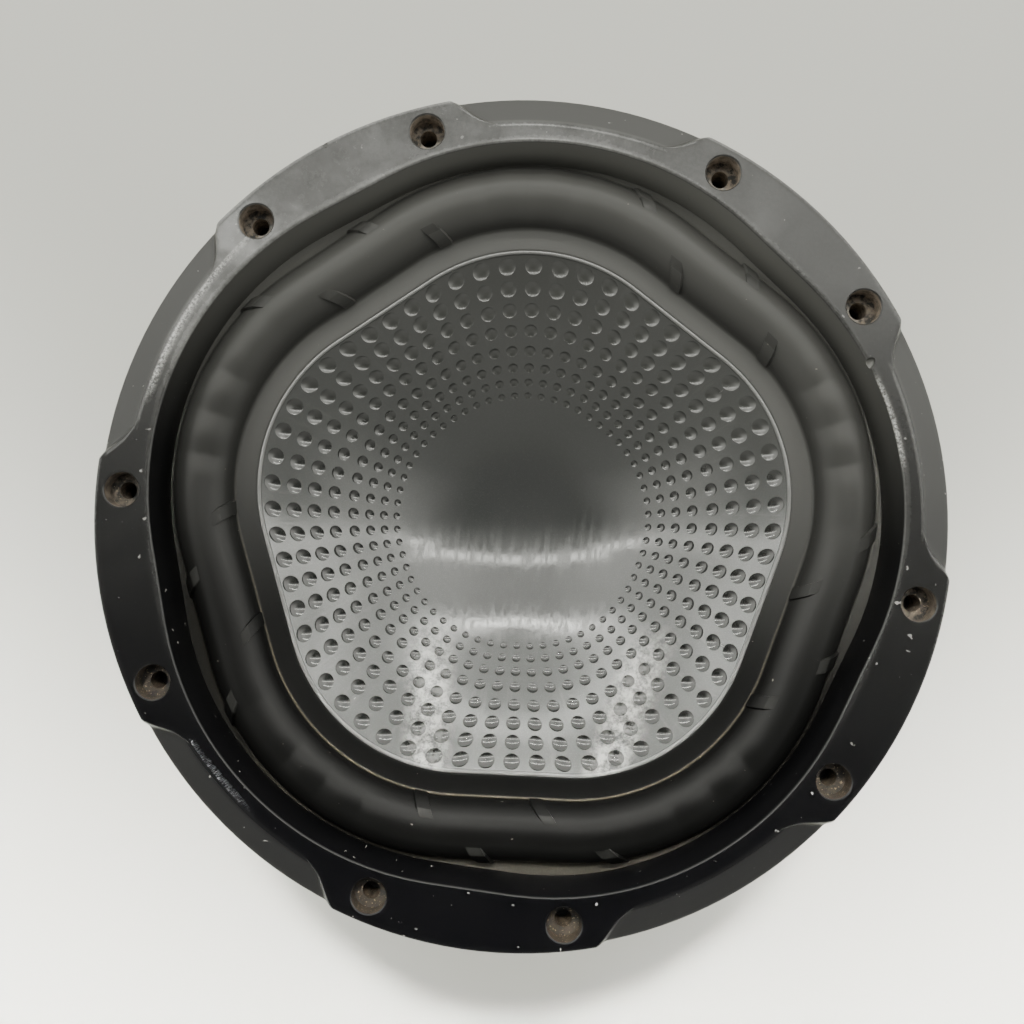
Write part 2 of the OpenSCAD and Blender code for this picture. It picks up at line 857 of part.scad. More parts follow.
module at_button(side) {
  translate([side * button_pitch / 2, -block_face, z_button]) children();
}

// A cylinder that runs inward from the block's face
module inward(radius, from, length) {
  translate([0, from, 0]) rotate([-90, 0, 0]) cylinder(r = radius, h = length);
}

// A leg with a hook on its outer side, through the wall and behind it
module snap_leg(side) {
  x = leg_pitch / 2;
  wall_y = sqrt(pow(wall_r(z_leg) - wall_across, 2) - pow(x, 2));
  hook_l = leg_out / 2;
  start = block_top_depth / 2 - block_face;
  end = leg_out - wall_y;
  translate([side * x, 0, z_leg]) {
    translate([-leg_w / 2, start, 0]) cube([leg_w, end - start, leg_h]);
    linear_extrude(leg_h)
      polygon([
        [0, end - hook_l], [side * (leg_w / 2 + leg_hook), end - hook_l], [side * leg_w / 2, end], [0, end],
      ]);
  }
}

module terminal_block() {
  color("#1b1b1d") {
    difference() {
      translate([-block_w / 2, -block_face, z_block]) cube([block_w, block_face, block_h]);
      wall_core();
      at_buttons() inward(bore_r, -cut, bore_depth + cut);
      for (side = [-1, 1])
        translate([side * button_pitch / 2, -block_face, z_contact]) {
          translate([0, wire_inset, 0]) cylinder(d = wire_hole_d, h = block_h, $fn = 48);
          translate([-contact_w / 2 - seat_gap, button_travel, -seat_gap])
            cube([contact_w + 2 * seat_gap, block_face, contact_t + 2 * seat_gap]);
        }
    }
    for (side = [-1, 1]) snap_leg(side);
  }
}

module button(side, tint) {
  tip_round = 1;
  body_r = button_d / 2;
  color(tint)
    at_button(side)
      difference() {
        translate([0, -button_out, 0])
          rotate([-90, 0, 0])
            rotate_extrude()
              polygon([
                [0, 0],
                [body_r - tip_round, 0],
                [body_r, tip_round],
                [body_r, button_length],
                [0, button_length],
              ]);
        inward(pocket_r, button_in - pocket_depth, pocket_depth + cut);
        translate([0, wire_inset - button_travel, -button_d])
          cylinder(d = wire_hole_d, h = 2 * button_d, $fn = 48);
      }
}

module button_red() button(1, "#a3211f");

module button_black() button(-1, "#232325");

// Centre line of a button's spring, from the floor of its pocket to the floor of its bore
spring_rings = 8;
spring_start = button_in - pocket_depth + seat_gap + spring_wire_d / 2;
spring_rise = spring_length - spring_wire_d;
spring_path = [
  for (i = [0 : spring_turns * spring_rings]) let(a = 360 * i / spring_rings) [
    spring_coil_r * cos(a),
    spring_start + spring_rise * i / (spring_turns * spring_rings),
    spring_coil_r * sin(a),
  ]
];
spring_far = spring_rings - 2;
spring_self_gap = min([
  for (i = [0 : len(spring_path) - 1 - spring_far])
    for (j = [i + spring_far : len(spring_path) - 1]) norm(spring_path[i] - spring_path[j]) - spring_wire_d
]);
echo(spring_self_gap = spring_self_gap);

module button_spring(side) {
  color("#a9acb0") at_button(side) tube(spring_path, spring_wire_d / 2, 6, [0, 1, 0]);
}

module button_spring_red() button_spring(1);

module button_spring_black() button_spring(-1);

// A brass strip under a wire hole, which runs through the wall to a soldering tab
module contact(side) {
  start = button_travel + seat_gap - block_face;
  eye_r = 0.9;
  color("#c4a24e")
    translate([side * button_pitch / 2, start, z_contact])
      difference() {
        translate([-contact_w / 2, 0, 0]) cube([contact_w, contact_length, contact_t]);
        translate([0, contact_length - 3 * eye_r, -cut])
          cylinder(r = eye_r, h = contact_t + 2 * cut, $fn = 24);
      }
}

module contact_red() contact(1);

module contact_black() contact(-1);

module tinsel_lead(side) {
  contact_end = button_travel + seat_gap - block_face + contact_length;
  z_strip = z_contact + contact_t;
  start = [side * button_pitch / 2, contact_end - lead_end_inset, z_strip + lead_d / 2 + seat_gap];
  end_r = tab_r + cone_seat_gap;
  end = [side * end_r * sin(tab_angle), -end_r * cos(tab_angle), z_tab + tab_h / 2];
  path = [for (p = lead_route) start + p[0] * (end - start) + [0, 0, p[1]]];
  color("#a8662f") tube(path, lead_d / 2, lead_sides, [1, 0, 0]);
}

module tinsel_lead_red() tinsel_lead(1);

module tinsel_lead_black() tinsel_lead(-1);

trim_ring();
surround();
cone();
neck_collar();
coil_former();
voice_coil();
lead_tabs();
spider();
basket();
basket_rivets();
top_plate();
magnet();
yoke();
magnet_boot();
vent_screen();
terminal_block();
button_red();
button_black();
button_spring_red();
button_spring_black();
contact_red();
contact_black();
tinsel_lead_red();
tinsel_lead_black();
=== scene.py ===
# %% [markdown]
# # A ten inch subwoofer driver
# The driver lies on its magnet and looks straight up. The packed model already holds every solid at its
# true size. This lesson dresses it: soft rubber, a dimpled dish, a black trim ring and worn finishes.
# The frame is loaded first.

import json
from math import cos, pi, radians, sin, tan

import bpy
import numpy as np
from mathutils import Matrix, Vector

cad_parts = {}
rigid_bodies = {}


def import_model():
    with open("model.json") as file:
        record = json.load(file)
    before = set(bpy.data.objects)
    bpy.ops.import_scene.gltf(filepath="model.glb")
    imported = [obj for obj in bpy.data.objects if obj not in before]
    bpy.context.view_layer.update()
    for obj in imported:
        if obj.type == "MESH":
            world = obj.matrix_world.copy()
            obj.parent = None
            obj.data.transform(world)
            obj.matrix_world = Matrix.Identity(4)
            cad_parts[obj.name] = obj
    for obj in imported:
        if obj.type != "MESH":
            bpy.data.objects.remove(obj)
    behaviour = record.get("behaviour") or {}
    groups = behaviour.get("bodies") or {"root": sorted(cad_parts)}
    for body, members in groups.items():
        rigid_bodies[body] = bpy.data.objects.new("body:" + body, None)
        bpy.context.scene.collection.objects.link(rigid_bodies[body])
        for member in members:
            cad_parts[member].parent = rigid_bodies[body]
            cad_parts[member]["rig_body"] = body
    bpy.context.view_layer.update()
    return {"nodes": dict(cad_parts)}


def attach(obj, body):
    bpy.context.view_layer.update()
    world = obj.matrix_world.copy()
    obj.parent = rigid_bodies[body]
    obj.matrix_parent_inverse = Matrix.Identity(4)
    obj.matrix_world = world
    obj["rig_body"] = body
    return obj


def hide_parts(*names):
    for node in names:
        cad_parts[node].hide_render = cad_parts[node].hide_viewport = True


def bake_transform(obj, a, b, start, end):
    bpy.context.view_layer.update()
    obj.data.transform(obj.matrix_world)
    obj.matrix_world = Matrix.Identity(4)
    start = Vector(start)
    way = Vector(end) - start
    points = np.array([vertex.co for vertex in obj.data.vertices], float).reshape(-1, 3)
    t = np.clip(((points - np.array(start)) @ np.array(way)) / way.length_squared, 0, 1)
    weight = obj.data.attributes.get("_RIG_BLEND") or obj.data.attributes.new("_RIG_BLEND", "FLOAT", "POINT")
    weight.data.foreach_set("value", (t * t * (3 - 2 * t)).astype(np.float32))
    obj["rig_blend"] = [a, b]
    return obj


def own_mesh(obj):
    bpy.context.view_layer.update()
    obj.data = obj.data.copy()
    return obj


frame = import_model()
scene = bpy.context.scene

# %% [markdown]
# ## The camera
# The photograph looks almost straight down the driver's axis from about half a metre up. A lens of
# 39 mm on a 36 mm sensor gives the same spread. The camera is turned about eight degrees round the
# axis, and tipped two degrees so that the axis leans as it does in the photograph.

# %% Place the camera
FOCAL_PX = 1109
IMAGE_PX = 1024
SENSOR = 36
STAND_OFF = 347.8
TRIM_TOP = 147.2
MM = 0.001

turn = Matrix.Rotation(radians(8.17), 4, "Z")
tip = Matrix.Rotation(radians(1.86), 4, "X")
lean = Matrix.Rotation(radians(0.41), 4, "Y")
pose = turn @ tip @ lean
right, up, back = (pose.col[i].to_3d() for i in range(3))
lens_to_rim = 0.00947 * right - 0.00613 * up - back
eye = Vector((0, 0, TRIM_TOP * MM)) - STAND_OFF * MM * lens_to_rim

bpy.ops.object.select_all(action="DESELECT")
bpy.ops.object.camera_add()
camera = bpy.context.object
camera.name = "portrait_camera"
camera.matrix_world = Matrix.Translation(eye) @ pose
camera.data.sensor_width = SENSOR
camera.data.lens = FOCAL_PX * SENSOR / IMAGE_PX
camera.data.clip_start = 0.01
scene.camera = camera
print("camera stands at", [round(v, 4) for v in camera.matrix_world.translation])

# %% [markdown]
# ## Shader sums in plain Python
# A finish is a small sum: colour here, dust there, rougher where it is worn. Wiring each sum by hand
# hides the idea, so one class wraps a socket and lets Python's own operators add the Math nodes.

# %% A socket that takes part in sums


class Wire:
    """One socket of a shader. Sums and products of wires add the nodes they need."""

    def __init__(self, socket):
        self.socket = socket

    def node(self, kind, settings=None, inputs=None, output=0):
        """Any other node: its type, its settings, and the values or wires of its sockets."""
        tree = self.socket.id_data
        made = tree.nodes.new(kind)
        for name, value in (settings or {}).items():
            if name == "stops":
                ramp = made.color_ramp.elements
                while len(ramp) < len(value):
                    ramp.new(1.0)
                for stop, (position, colour) in zip(ramp, value):
                    stop.position = position
                    stop.color = (*colour, 1)
            else:
                setattr(made, name, value)
        for key, value in (inputs or {}).items():
            if isinstance(value, Wire):
                tree.links.new(value.socket, made.inputs[key])
            else:
                made.inputs[key].default_value = value
        return Wire(made.outputs[output])

    def math(self, operation, *others):
        values = dict(enumerate((self,) + others))
        return self.node("ShaderNodeMath", {"operation": operation}, values)

    def __add__(self, other):
        return self.math("ADD", other)

    def __sub__(self, other):
        return self.math("SUBTRACT", other)

    def __mul__(self, other):
        return self.math("MULTIPLY", other)

    def __truediv__(self, other):
        return self.math("DIVIDE", other)

    def __rsub__(self, other):
        return self.node("ShaderNodeMath", {"operation": "SUBTRACT"}, {0: other, 1: self})

    def __abs__(self):
        return self.math("ABSOLUTE")

    __radd__ = __add__
    __rmul__ = __mul__

    def between(self, low, high):
        """0 below low, 1 above high and a smooth step from one to the other."""
        limits = {"Value": self, "From Min": low, "From Max": high}
        return self.node("ShaderNodeMapRange", {"interpolation_type": "SMOOTHSTEP"}, limits)

    def within(self, low, full, fade, high):
        """A plateau that rises from low to full and falls from fade to high."""
        return self.between(low, full) * (1 - self.between(fade, high))

    def ripple(self):
        """A sine of this angle, from 0 to 1."""
        return self.math("SINE") * 0.5 + 0.5

    def noted(self, name):
        """The number that was noted on each point under a name."""
        return self.node("ShaderNodeAttribute", {"attribute_name": name}, None, 2)

    def noise(self, scale, detail=3.0, rough=0.55, stretch=(1, 1, 1)):
        """Cloudy noise on this vector, drawn out by stretch."""
        vector = self
        if stretch != (1, 1, 1):
            vector = self.node("ShaderNodeMapping", None, {"Vector": self, "Scale": stretch})
        values = {"Vector": vector, "Scale": scale, "Detail": detail, "Roughness": rough}
        return self.node("ShaderNodeTexNoise", None, values)

    def blend(self, low, high):
        """A colour that goes from low to high as this mask goes from 0 to 1."""
        low, high = ((*c, 1) if isinstance(c, tuple) else c for c in (low, high))
        return self.node("ShaderNodeMix", {"data_type": "RGBA"}, {0: self, 6: low, 7: high}, 2)

    def bump(self, strength, distance):
        """A normal from this height."""
        values = {"Height": self, "Strength": strength, "Distance": distance}
        return self.node("ShaderNodeBump", None, values)


print("a wire's sums:", [name for name in vars(Wire) if not name.startswith("_")])

# %% Helpers for a finish


def new_finish(name):
    """A fresh material with its shader and the piece's own coordinates."""
    finish = bpy.data.materials.new(name)
    finish.use_nodes = True
    shader = finish.node_tree.nodes["Principled BSDF"]
    place = Wire(finish.node_tree.nodes.new("ShaderNodeTexCoord").outputs["Object"])
    return finish, shader, place


def feed(shader, **inputs):
    """Set or link the shader's sockets, with underscores for spaces in their names."""
    for name, value in inputs.items():
        socket = shader.inputs[name.replace("_", " ").title().replace("Ior", "IOR")]
        if isinstance(value, Wire):
            socket.id_data.links.new(value.socket, socket)
        else:
            socket.default_value = (*value, 1) if isinstance(value, tuple) else value


def axes(place, scale=1 / MM):
    """The three coordinates of a place, in mm."""
    scaled = place.node("ShaderNodeVectorMath", {"operation": "SCALE"}, {0: place, "Scale": scale})
    split = place.node("ShaderNodeSeparateXYZ", None, {0: scaled})
    return tuple(Wire(output) for output in split.socket.node.outputs)


def length(x, y):
    return (x * x + y * y).math("SQRT")


def chart(x, y):
    """A vector of two wires, for noise that runs along other lines than the axes."""
    return x.node("ShaderNodeCombineXYZ", None, {"X": x, "Y": y})


def paint(base, *coats):
    """Lay tones over a base colour, each through its own mask."""
    for mask, tone in coats:
        base = mask.blend(base, tone)
    return base


def dress(piece, finish):
    """Give a piece one finish and no other."""
    piece.data.materials.clear()
    piece.data.materials.append(finish)
    print(piece.name, "wears", finish.name, "of", len(finish.node_tree.nodes), "nodes")


# %% [markdown]
# ## Floor and light
# Two long tubes of light hang beyond the driver, one almost overhead and one at 45 degrees. Their
# mirror images are the bright arcs in the dish and the stripes in its dents. Three narrow lamps light
# the floor alone. The room is dark overhead and pale near the horizon, which is why the ring's lower
# lands are black while its sloped scallops stay grey. All of it has the photograph's slight warmth.

# %% Lay the floor
bpy.ops.mesh.primitive_plane_add(size=12, location=(0, 0, -0.0002))
bpy.ops.object.transform_apply(location=True)
floor = bpy.context.object
floor.name = "pale_floor"
print("floor:", [round(v, 1) for v in floor.dimensions], "m")

# %% Hang the lights
HIGH = 3.0
LAMP_TINT = (1.0, 1.0, 0.93)


def hang_light(name, place, size, watts, aim=(0, 0, 0.13), spread=180, mirrored=True):
    """A rectangular lamp that faces a point. Places are measured along the picture's own axes."""
    place, aim = turn @ Vector(place), turn @ Vector(aim)
    bpy.ops.object.light_add(type="AREA", location=place)
    lamp = bpy.context.object
    lamp.name = name
    lamp.data.shape = "RECTANGLE"
    lamp.data.size, lamp.data.size_y = size
    lamp.data.energy = watts
    lamp.data.color = LAMP_TINT
    lamp.data.spread = radians(spread)
    lamp.visible_camera = False
    lamp.visible_glossy = mirrored
    lamp.rotation_euler = (aim - place).to_track_quat("-Z", "Y").to_euler()


hang_light("near_tube", (0, 0.29 * HIGH, HIGH), (9.0, 0.16), 46)
hang_light("far_tube", (0, HIGH, HIGH), (7.0, 0.16), 84)
hang_light("floor_key", (0, 1.15, 2.6), (0.9, 0.3), 12, aim=(0, -0.45, 0), spread=12, mirrored=False)
for side in (-1, 1):
    spot = (side * 0.44, -0.08, 0)
    hang_light("side_key", (side * 1.0, 0.3, 2.6), (0.2, 0.5), 1.7, aim=spot, spread=11, mirrored=False)

# %% Light the room
WALLS = [
    (0.0, 0.24), (0.10, 0.14), (0.20, 0.11), (0.32, 0.15),
    (0.47, 0.63), (0.62, 0.78), (0.78, 0.70), (1.0, 0.52),
]
CEILING = [(0.0, 1.0), (0.56, 1.0), (0.86, 0.02), (1.0, 0.005)]
CEILING_BEND = 0.28
PANEL = 0.53
GLOW = 3.0


def grey_ramp(wire, stops):
    """Grey levels along a wire's value."""
    return wire.node("ShaderNodeValToRGB", {"stops": [(p, (g, g, g)) for p, g in stops]}, {0: wire})


world = scene.world or bpy.data.worlds.new("room")
scene.world = world
world.use_nodes = True
room = world.node_tree
heading = Wire(room.nodes.new("ShaderNodeTexCoord").outputs["Generated"])
facing = {0: heading, 1: tuple(turn.col[1])[:3]}
forward = heading.node("ShaderNodeVectorMath", {"operation": "DOT_PRODUCT"}, facing, "Value")
upward = axes(heading, 1)[2]
wall = grey_ramp(forward * 0.5 + 0.5, WALLS)
ceiling = grey_ramp(upward - abs(forward) * CEILING_BEND, CEILING)
overhead = forward.within(0.02, 0.30, 0.34, 0.66) * upward.between(0.5, 0.85)
glow = (wall * ceiling + overhead * PANEL).blend((0, 0, 0), LAMP_TINT)
room.links.new(glow.socket, room.nodes["Background"].inputs["Color"])
room.nodes["Background"].inputs["Strength"].default_value = GLOW
print("room lit with", len(room.nodes), "nodes")

# %% The floor's finish
finish, shader, place = new_finish("pale_paper")
paper = place.noise(3.0, 2.0).blend((0.590, 0.590, 0.556), (0.630, 0.630, 0.594))
feed(shader, base_color=paper, roughness=0.75, specular_ior_level=0.2)
dress(floor, finish)

# %% [markdown]
# ## Helpers for shaping
# Rubber rolls and the ring are sheets that go once round the axis. A flat grid is added and each of
# its points is moved by a rule, as if the sheet were rolled by hand. Then the seam is merged. Most
# outlines are one rounded pentagon at different offsets, so its distance from the axis is written once.

# %% Select, name and move


def deselect():
    """Leave edit mode and select nothing."""
    if bpy.context.object and bpy.context.object.mode != "OBJECT":
        bpy.ops.object.mode_set(mode="OBJECT")
    bpy.ops.object.select_all(action="DESELECT")


def take(piece):
    """Make one piece the only selected one."""
    deselect()
    piece.select_set(True)
    bpy.context.view_layer.objects.active = piece


def adopt(name):
    """Name the primitive that was just added."""
    piece = bpy.context.object
    piece.name = name
    piece.data.name = name
    return piece


def points_of(piece):
    points = np.empty(len(piece.data.vertices) * 3)
    piece.data.vertices.foreach_get("co", points)
    return points.reshape(-1, 3)


def move_points(piece, points):
    piece.data.vertices.foreach_set("co", np.asarray(points, float).ravel())
    piece.data.update()


def note(piece, name, values):
    """Write one number per point, for a finish or a bend to read."""
    held = piece.data.attributes.get(name) or piece.data.attributes.new(name, "FLOAT", "POINT")
    held.data.foreach_set("value", np.asarray(values, np.float32))


def read_note(piece, name):
    values = np.empty(len(piece.data.vertices), np.float32)
    piece.data.attributes[name].data.foreach_get("value", values)
    return values


# %% Edit, merge and modify
SEAM = 2e-6


def open_mesh():
    """Enter edit mode with all of the active piece selected."""
    bpy.ops.object.mode_set(mode="EDIT")
    bpy.ops.mesh.select_all(action="SELECT")


def close_mesh():
    bpy.ops.object.mode_set(mode="OBJECT")


def extrude(offset):
    bpy.ops.mesh.extrude_region_move(TRANSFORM_OT_translate={"value": offset})


def seal(piece):
    """Merge the seams and turn every face outwards."""
    take(piece)
    open_mesh()
    bpy.ops.mesh.remove_doubles(threshold=SEAM)
    bpy.ops.mesh.normals_make_consistent(inside=False)
    close_mesh()


def apply_modifier(piece, kind, **settings):
    """Add one modifier to a piece, set it and apply it."""
    take(piece)
    made = piece.modifiers.new(kind.lower(), kind)
    for name, value in settings.items():
        setattr(made, name, value)
    bpy.ops.object.modifier_apply(modifier=made.name)


def join(pieces):
    """Join pieces into the first of them."""
    take(pieces[0])
    for piece in pieces[1:]:
        piece.select_set(True)
    bpy.ops.object.join()
    return pieces[0]


def faces_of(piece):
    return sum(len(p.vertices) - 2 for p in piece.data.polygons)


def smooth(piece, angle):
    """Shade a piece smooth where its faces meet at less than an angle."""
    take(piece)
    bpy.ops.object.shade_smooth_by_angle(angle=radians(angle))
    print(piece.name, "has", faces_of(piece), "triangles")


# %% Rolled sheets and the rounded pentagon
SECTOR = radians(72)


def cell(values, count):
    """Whole steps along a grid that runs from -0.5 to 0.5."""
    return np.rint((values + 0.5) * count).astype(int)


def roll_sheet(name, columns, rows, rule):
    """A grid whose columns go once round the axis. The rule gives points in mm and numbers to note."""
    deselect()
    bpy.ops.mesh.primitive_grid_add(x_subdivisions=columns, y_subdivisions=rows, size=1)
    sheet = adopt(name)
    flat = points_of(sheet)
    points, notes = rule(cell(flat[:, 0], columns) % columns, cell(flat[:, 1], rows))
    move_points(sheet, points * MM)
    for key, values in notes.items():
        note(sheet, key, values)
    seal(sheet)
    return sheet


def pentagon(flat, corner, angle):
    """Distance from the axis to a rounded pentagon, at angles from one of its corners."""
    inner = flat - corner
    off = np.abs(angle - SECTOR * np.round(angle / SECTOR))
    vertex = inner / cos(SECTOR / 2)
    edge = flat / np.cos(SECTOR / 2 - off)
    arc = vertex * np.cos(off) + np.sqrt(np.maximum(corner ** 2 - (vertex * np.sin(off)) ** 2, 0))
    on_edge = edge * np.sin(SECTOR / 2 - off) <= inner * tan(SECTOR / 2)
    return np.where(on_edge, edge, arc)


def polar(radius, angle, height):
    return np.stack([radius * np.cos(angle), radius * np.sin(angle), height + 0 * radius], axis=1)


def ease(share):
    """A smooth step of a share from 0 to 1."""
    return share * share * (3 - 2 * share)


print("flats 100 mm out put the corners", pentagon(100, 60, 0.0).round(1), "mm out")

# %% [markdown]
# ## The trim ring
# The black ring hides the surround's edge and takes ten screws. Five scallops slope away from its top
# between the screw pairs. Its columns follow the slanted ends of the scallops, where each land falls
# away in a short S-shaped ramp that widens outwards. The inner corner of a scallop is rounded. Each of
# the ten stepped holes, and each chip in an edge, is cut afterwards by a modelled cutter.

# %% Columns and rows of the trim ring
FLANGE = 130.0
TRIM_R = 135.0
SCALLOP_W = 9.8
EDGE = 0.8
STEP = 0.5
REBATE_R = 122.65
REBATE_Z = 131.3

half = [(0, f, -STEP * f, 1.0) for f in np.linspace(0, 0.93, 8)]
for d in (-0.5, -0.34, -0.2, -0.07, 0.07, 0.2, 0.34, 0.5):
    half.append((0, 1, d, 1 - ease(d + 0.5)))
for g in (0.03, 0.08, 0.15, 0.24, 0.35, 0.47, 0.6, 0.73, 0.86, 1.0):
    half.append((g, 1 - g, STEP * (1 - g), 0.0))
mirrored = [(-a, -b, -c, sunk) for a, b, c, sunk in half[1:-1]]
sector_columns = np.array(mirrored[::-1] + half)
trim_columns = len(sector_columns) * 5

trim_rows = [("bore", z) for z in (REBATE_Z, 132.5, 137, 142, TRIM_TOP - EDGE)]
trim_rows += [("lip", a) for a in (18, 36, 54, 72, 90)]
trim_rows += [("top", t) for t in (0.12, 0.3, 0.5, 0.7, 0.86, 0.95)]
trim_rows += [("slope", s) for s in (-0.8, -0.4, 0, 0.4, 0.8, 1.3, 2, 2.8, 4, 6, 8, SCALLOP_W - EDGE)]
trim_rows += [("edge", a) for a in (22.5, 45, 67.5, 90)]
trim_rows += [("side", z) for z in (140, 135, FLANGE + 0.4)]
trim_rows += [("under", r) for r in (TRIM_R - 0.4, 128, REBATE_R)] + [("rebate", REBATE_R)]
print("trim ring grid:", trim_columns, "columns,", len(trim_rows), "rows")

# %% Place each row, then roll the ring
OPEN_FLAT = 113.6
OPEN_DRAFT = 2.4
OPEN_EASE = 17
TRIM_H = 17.2
SCALLOP_R = TRIM_R - SCALLOP_W
SCALLOP_DROP = 4.3
SCALLOP_IN = radians(13.2)
SCALLOP_OUT = radians(17.4)
RAMP = 2.6
FILLET = 3.6


def opening(height, angle):
    flat = OPEN_FLAT + OPEN_DRAFT * (height - FLANGE) / TRIM_H
    return pentagon(flat, flat - OPEN_EASE, angle)


def scallop_depth(out):
    """Fall of a scallop at a distance out from its inner edge, eased at that edge."""
    eased = np.where(out > EDGE, out, np.where(out < -EDGE, 0, (out + EDGE) ** 2 / (4 * EDGE)))
    return eased * SCALLOP_DROP / SCALLOP_W


def row_place(kind, value, angle, sunk):
    """Distance from the axis and height of one row of the ring."""
    bend = radians(value)
    lip = opening(TRIM_TOP - EDGE, angle)
    if kind == "bore":
        return opening(value, angle), value
    if kind == "lip":
        return lip + EDGE * (1 - cos(bend)), TRIM_TOP - EDGE + EDGE * sin(bend)
    if kind == "top":
        return lip + EDGE + value * (SCALLOP_R - lip - 2 * EDGE), TRIM_TOP
    if kind == "slope":
        return SCALLOP_R + value, TRIM_TOP - sunk * scallop_depth(value)
    if kind == "edge":
        radius = TRIM_R - EDGE + EDGE * sin(bend)
        return radius, TRIM_TOP - sunk * scallop_depth(radius - SCALLOP_R) - EDGE * (1 - cos(bend))
    if kind == "side":
        return TRIM_R, value
    return value, FLANGE if kind == "under" else REBATE_Z


def trim_rule(column, row):
    land, side, offset, sunk = sector_columns[column % len(sector_columns)].T
    radius, height = np.zeros((2, len(column)))
    local = land * SECTOR / 2 + side * (SCALLOP_IN - FILLET / SCALLOP_R) + offset / SCALLOP_R
    for index, (kind, value) in enumerate(trim_rows):
        at = row % len(trim_rows) == index
        if kind in ("slope", "edge", "side", "under", "rebate"):
            outs = {"slope": value, "under": value - SCALLOP_R, "rebate": value - SCALLOP_R}
            out = outs.get(kind, SCALLOP_W)
            share = min(max(out / SCALLOP_W, 0), 1)
            spread = SCALLOP_IN + (SCALLOP_OUT - SCALLOP_IN) * share
            spread -= FILLET / SCALLOP_R * max(1 - max(out, 0) / FILLET, 0) ** 2
            ramp = offset[at] * (1 + RAMP * share) / (SCALLOP_R + max(out, 0))
            local[at] = land[at] * SECTOR / 2 + side[at] * spread + ramp
        radius[at], height[at] = row_place(kind, value, local[at], sunk[at])
    angle = local + pi / 2 + SECTOR * (column // len(sector_columns))
    return polar(radius, angle, height), {}


trim = roll_sheet("trim_bezel", trim_columns, len(trim_rows), trim_rule)
print("trim ring:", faces_of(trim), "triangles before its holes")

# %% A stepped screw cutter
SCREW_R = 126.7
PAIR = radians(14)
SHANK_R = 2.75
HEAD_R = 5.5
HEAD_FLOOR = 140.2
HEAD_DEEP = 6.6
MOUTH_R = 5.9
MOUTH_DEEP = 0.4


def extrude_up(rise, widen=1.0):
    """Lift the selected cap and scale it about the cutter's axis."""
    extrude((0, 0, rise * MM))
    if widen != 1.0:
        bpy.ops.transform.resize(value=(widen, widen, 1), center_override=(0, 0, 0))


def screw_cutter():
    """One stepped cutter: shank hole, head recess and a small chamfer at the mouth."""
    deselect()
    base = (0, 0, (FLANGE - 1) * MM)
    bpy.ops.mesh.primitive_circle_add(vertices=48, radius=SHANK_R * MM, fill_type="NGON", location=base)
    cutter = adopt("screw_cutter")
    bpy.ops.object.transform_apply(location=True)
    open_mesh()
    extrude_up(HEAD_FLOOR - FLANGE + 1)
    extrude_up(0, HEAD_R / SHANK_R)
    extrude_up(HEAD_DEEP)
    extrude_up(MOUTH_DEEP, MOUTH_R / HEAD_R)
    extrude_up(2)
    close_mesh()
    return cutter


cutter = screw_cutter()
print("screw cutter:", faces_of(cutter), "triangles")

# %% Cut ten holes and two chips


def copies_round(piece, angles, radius):
    """Copies of a piece at angles on a circle, joined with it into one."""
    made = []
    for angle in angles:
        take(piece)
        bpy.ops.object.duplicate()
        copy = bpy.context.object
        move = Matrix.Translation((radius * MM * cos(angle), radius * MM * sin(angle), 0))
        copy.data.transform(move @ Matrix.Rotation(angle, 4, "Z"))
        made.append(copy)
    bpy.data.objects.remove(piece)
    return join(made)


def chip(name, radius, angle, height, size):
    """A small lump that takes a chip out of an edge."""
    deselect()
    place = (radius * MM * cos(angle), radius * MM * sin(angle), height * MM)
    bpy.ops.mesh.primitive_ico_sphere_add(subdivisions=2, radius=size * MM, location=place)
    lump = adopt(name)
    lump.scale = (1.6, 0.8, 0.7)
    lump.rotation_euler = (0.3, 0.2, angle + 0.4)
    bpy.ops.object.transform_apply(location=True, rotation=True, scale=True)
    return lump


land_angles = [pi / 2 + SECTOR * (i + 0.5) for i in range(5)]
screw_angles = [a + s for a in land_angles for s in (-PAIR, PAIR)]
cutters = copies_round(cutter, screw_angles, SCREW_R)
chips = [
    chip("edge_chip_a", 118.8, radians(32.2), TRIM_TOP, 2.1),
    chip("edge_chip_b", 134.9, radians(126.1), TRIM_TOP, 1.3),
]
for tool in [cutters] + chips:
    apply_modifier(trim, "BOOLEAN", operation="DIFFERENCE", solver="EXACT", object=tool)
    bpy.data.objects.remove(tool)
seal(trim)
smooth(trim, 32)
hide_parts("trim_ring")
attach(trim, "frame")

# %% [markdown]
# ## The trim ring's finish
# It is black moulded plastic, smooth on the lands and a little matt in the scallops. Screws and
# handling have left brown dust in the holes, a scrape and small flecks. The pale edges are partly
# wear and partly painted sheen, and glint paints highlight streaks on the upper-left and right strips.
# A thin grey painted haze lightens the ring, its walls and the dust in its holes towards the top of
# the picture. The hole pairs repeat five times round the axis, so one folded angle finds them all.

# %% Black plastic with dusty holes
finish, shader, place = new_finish("scuffed_black_plastic")
x, y, z = axes(place)
reach, bearing = length(x, y), y.math("ARCTAN2", x)
folded = (bearing / SECTOR + 0.75).math("FRACT") - 0.5
pair_angle = abs(folded * SECTOR) - PAIR
off_hole = length(reach - SCREW_R, pair_angle * SCREW_R)
in_hole = 1 - off_hole.between(5.3, 6.0)
below_top = 1 - z.between(TRIM_TOP - 0.9, TRIM_TOP - 0.2)
grime = place.noise(420, 5.0, 0.7)
thread = (z * (2 * pi / 0.9)).math("SINE") * in_hole * below_top
hole_dust = in_hole * below_top * (grime.between(0.36, 0.62) * 0.7 + thread * 0.35 + 0.2)
grain = place.noise(2600, 2.0)
handling = place.noise(55, 4.0, 0.65)
flecks = place.noise(500, 1.0, 0.4).between(0.77, 0.80)
matt = below_top * reach.between(124.6, 125.6)
on_top = 1 - below_top
# Painted haze: a mask that lightens the ring towards the top of the picture.
painted_haze = y.between(-100, 130)
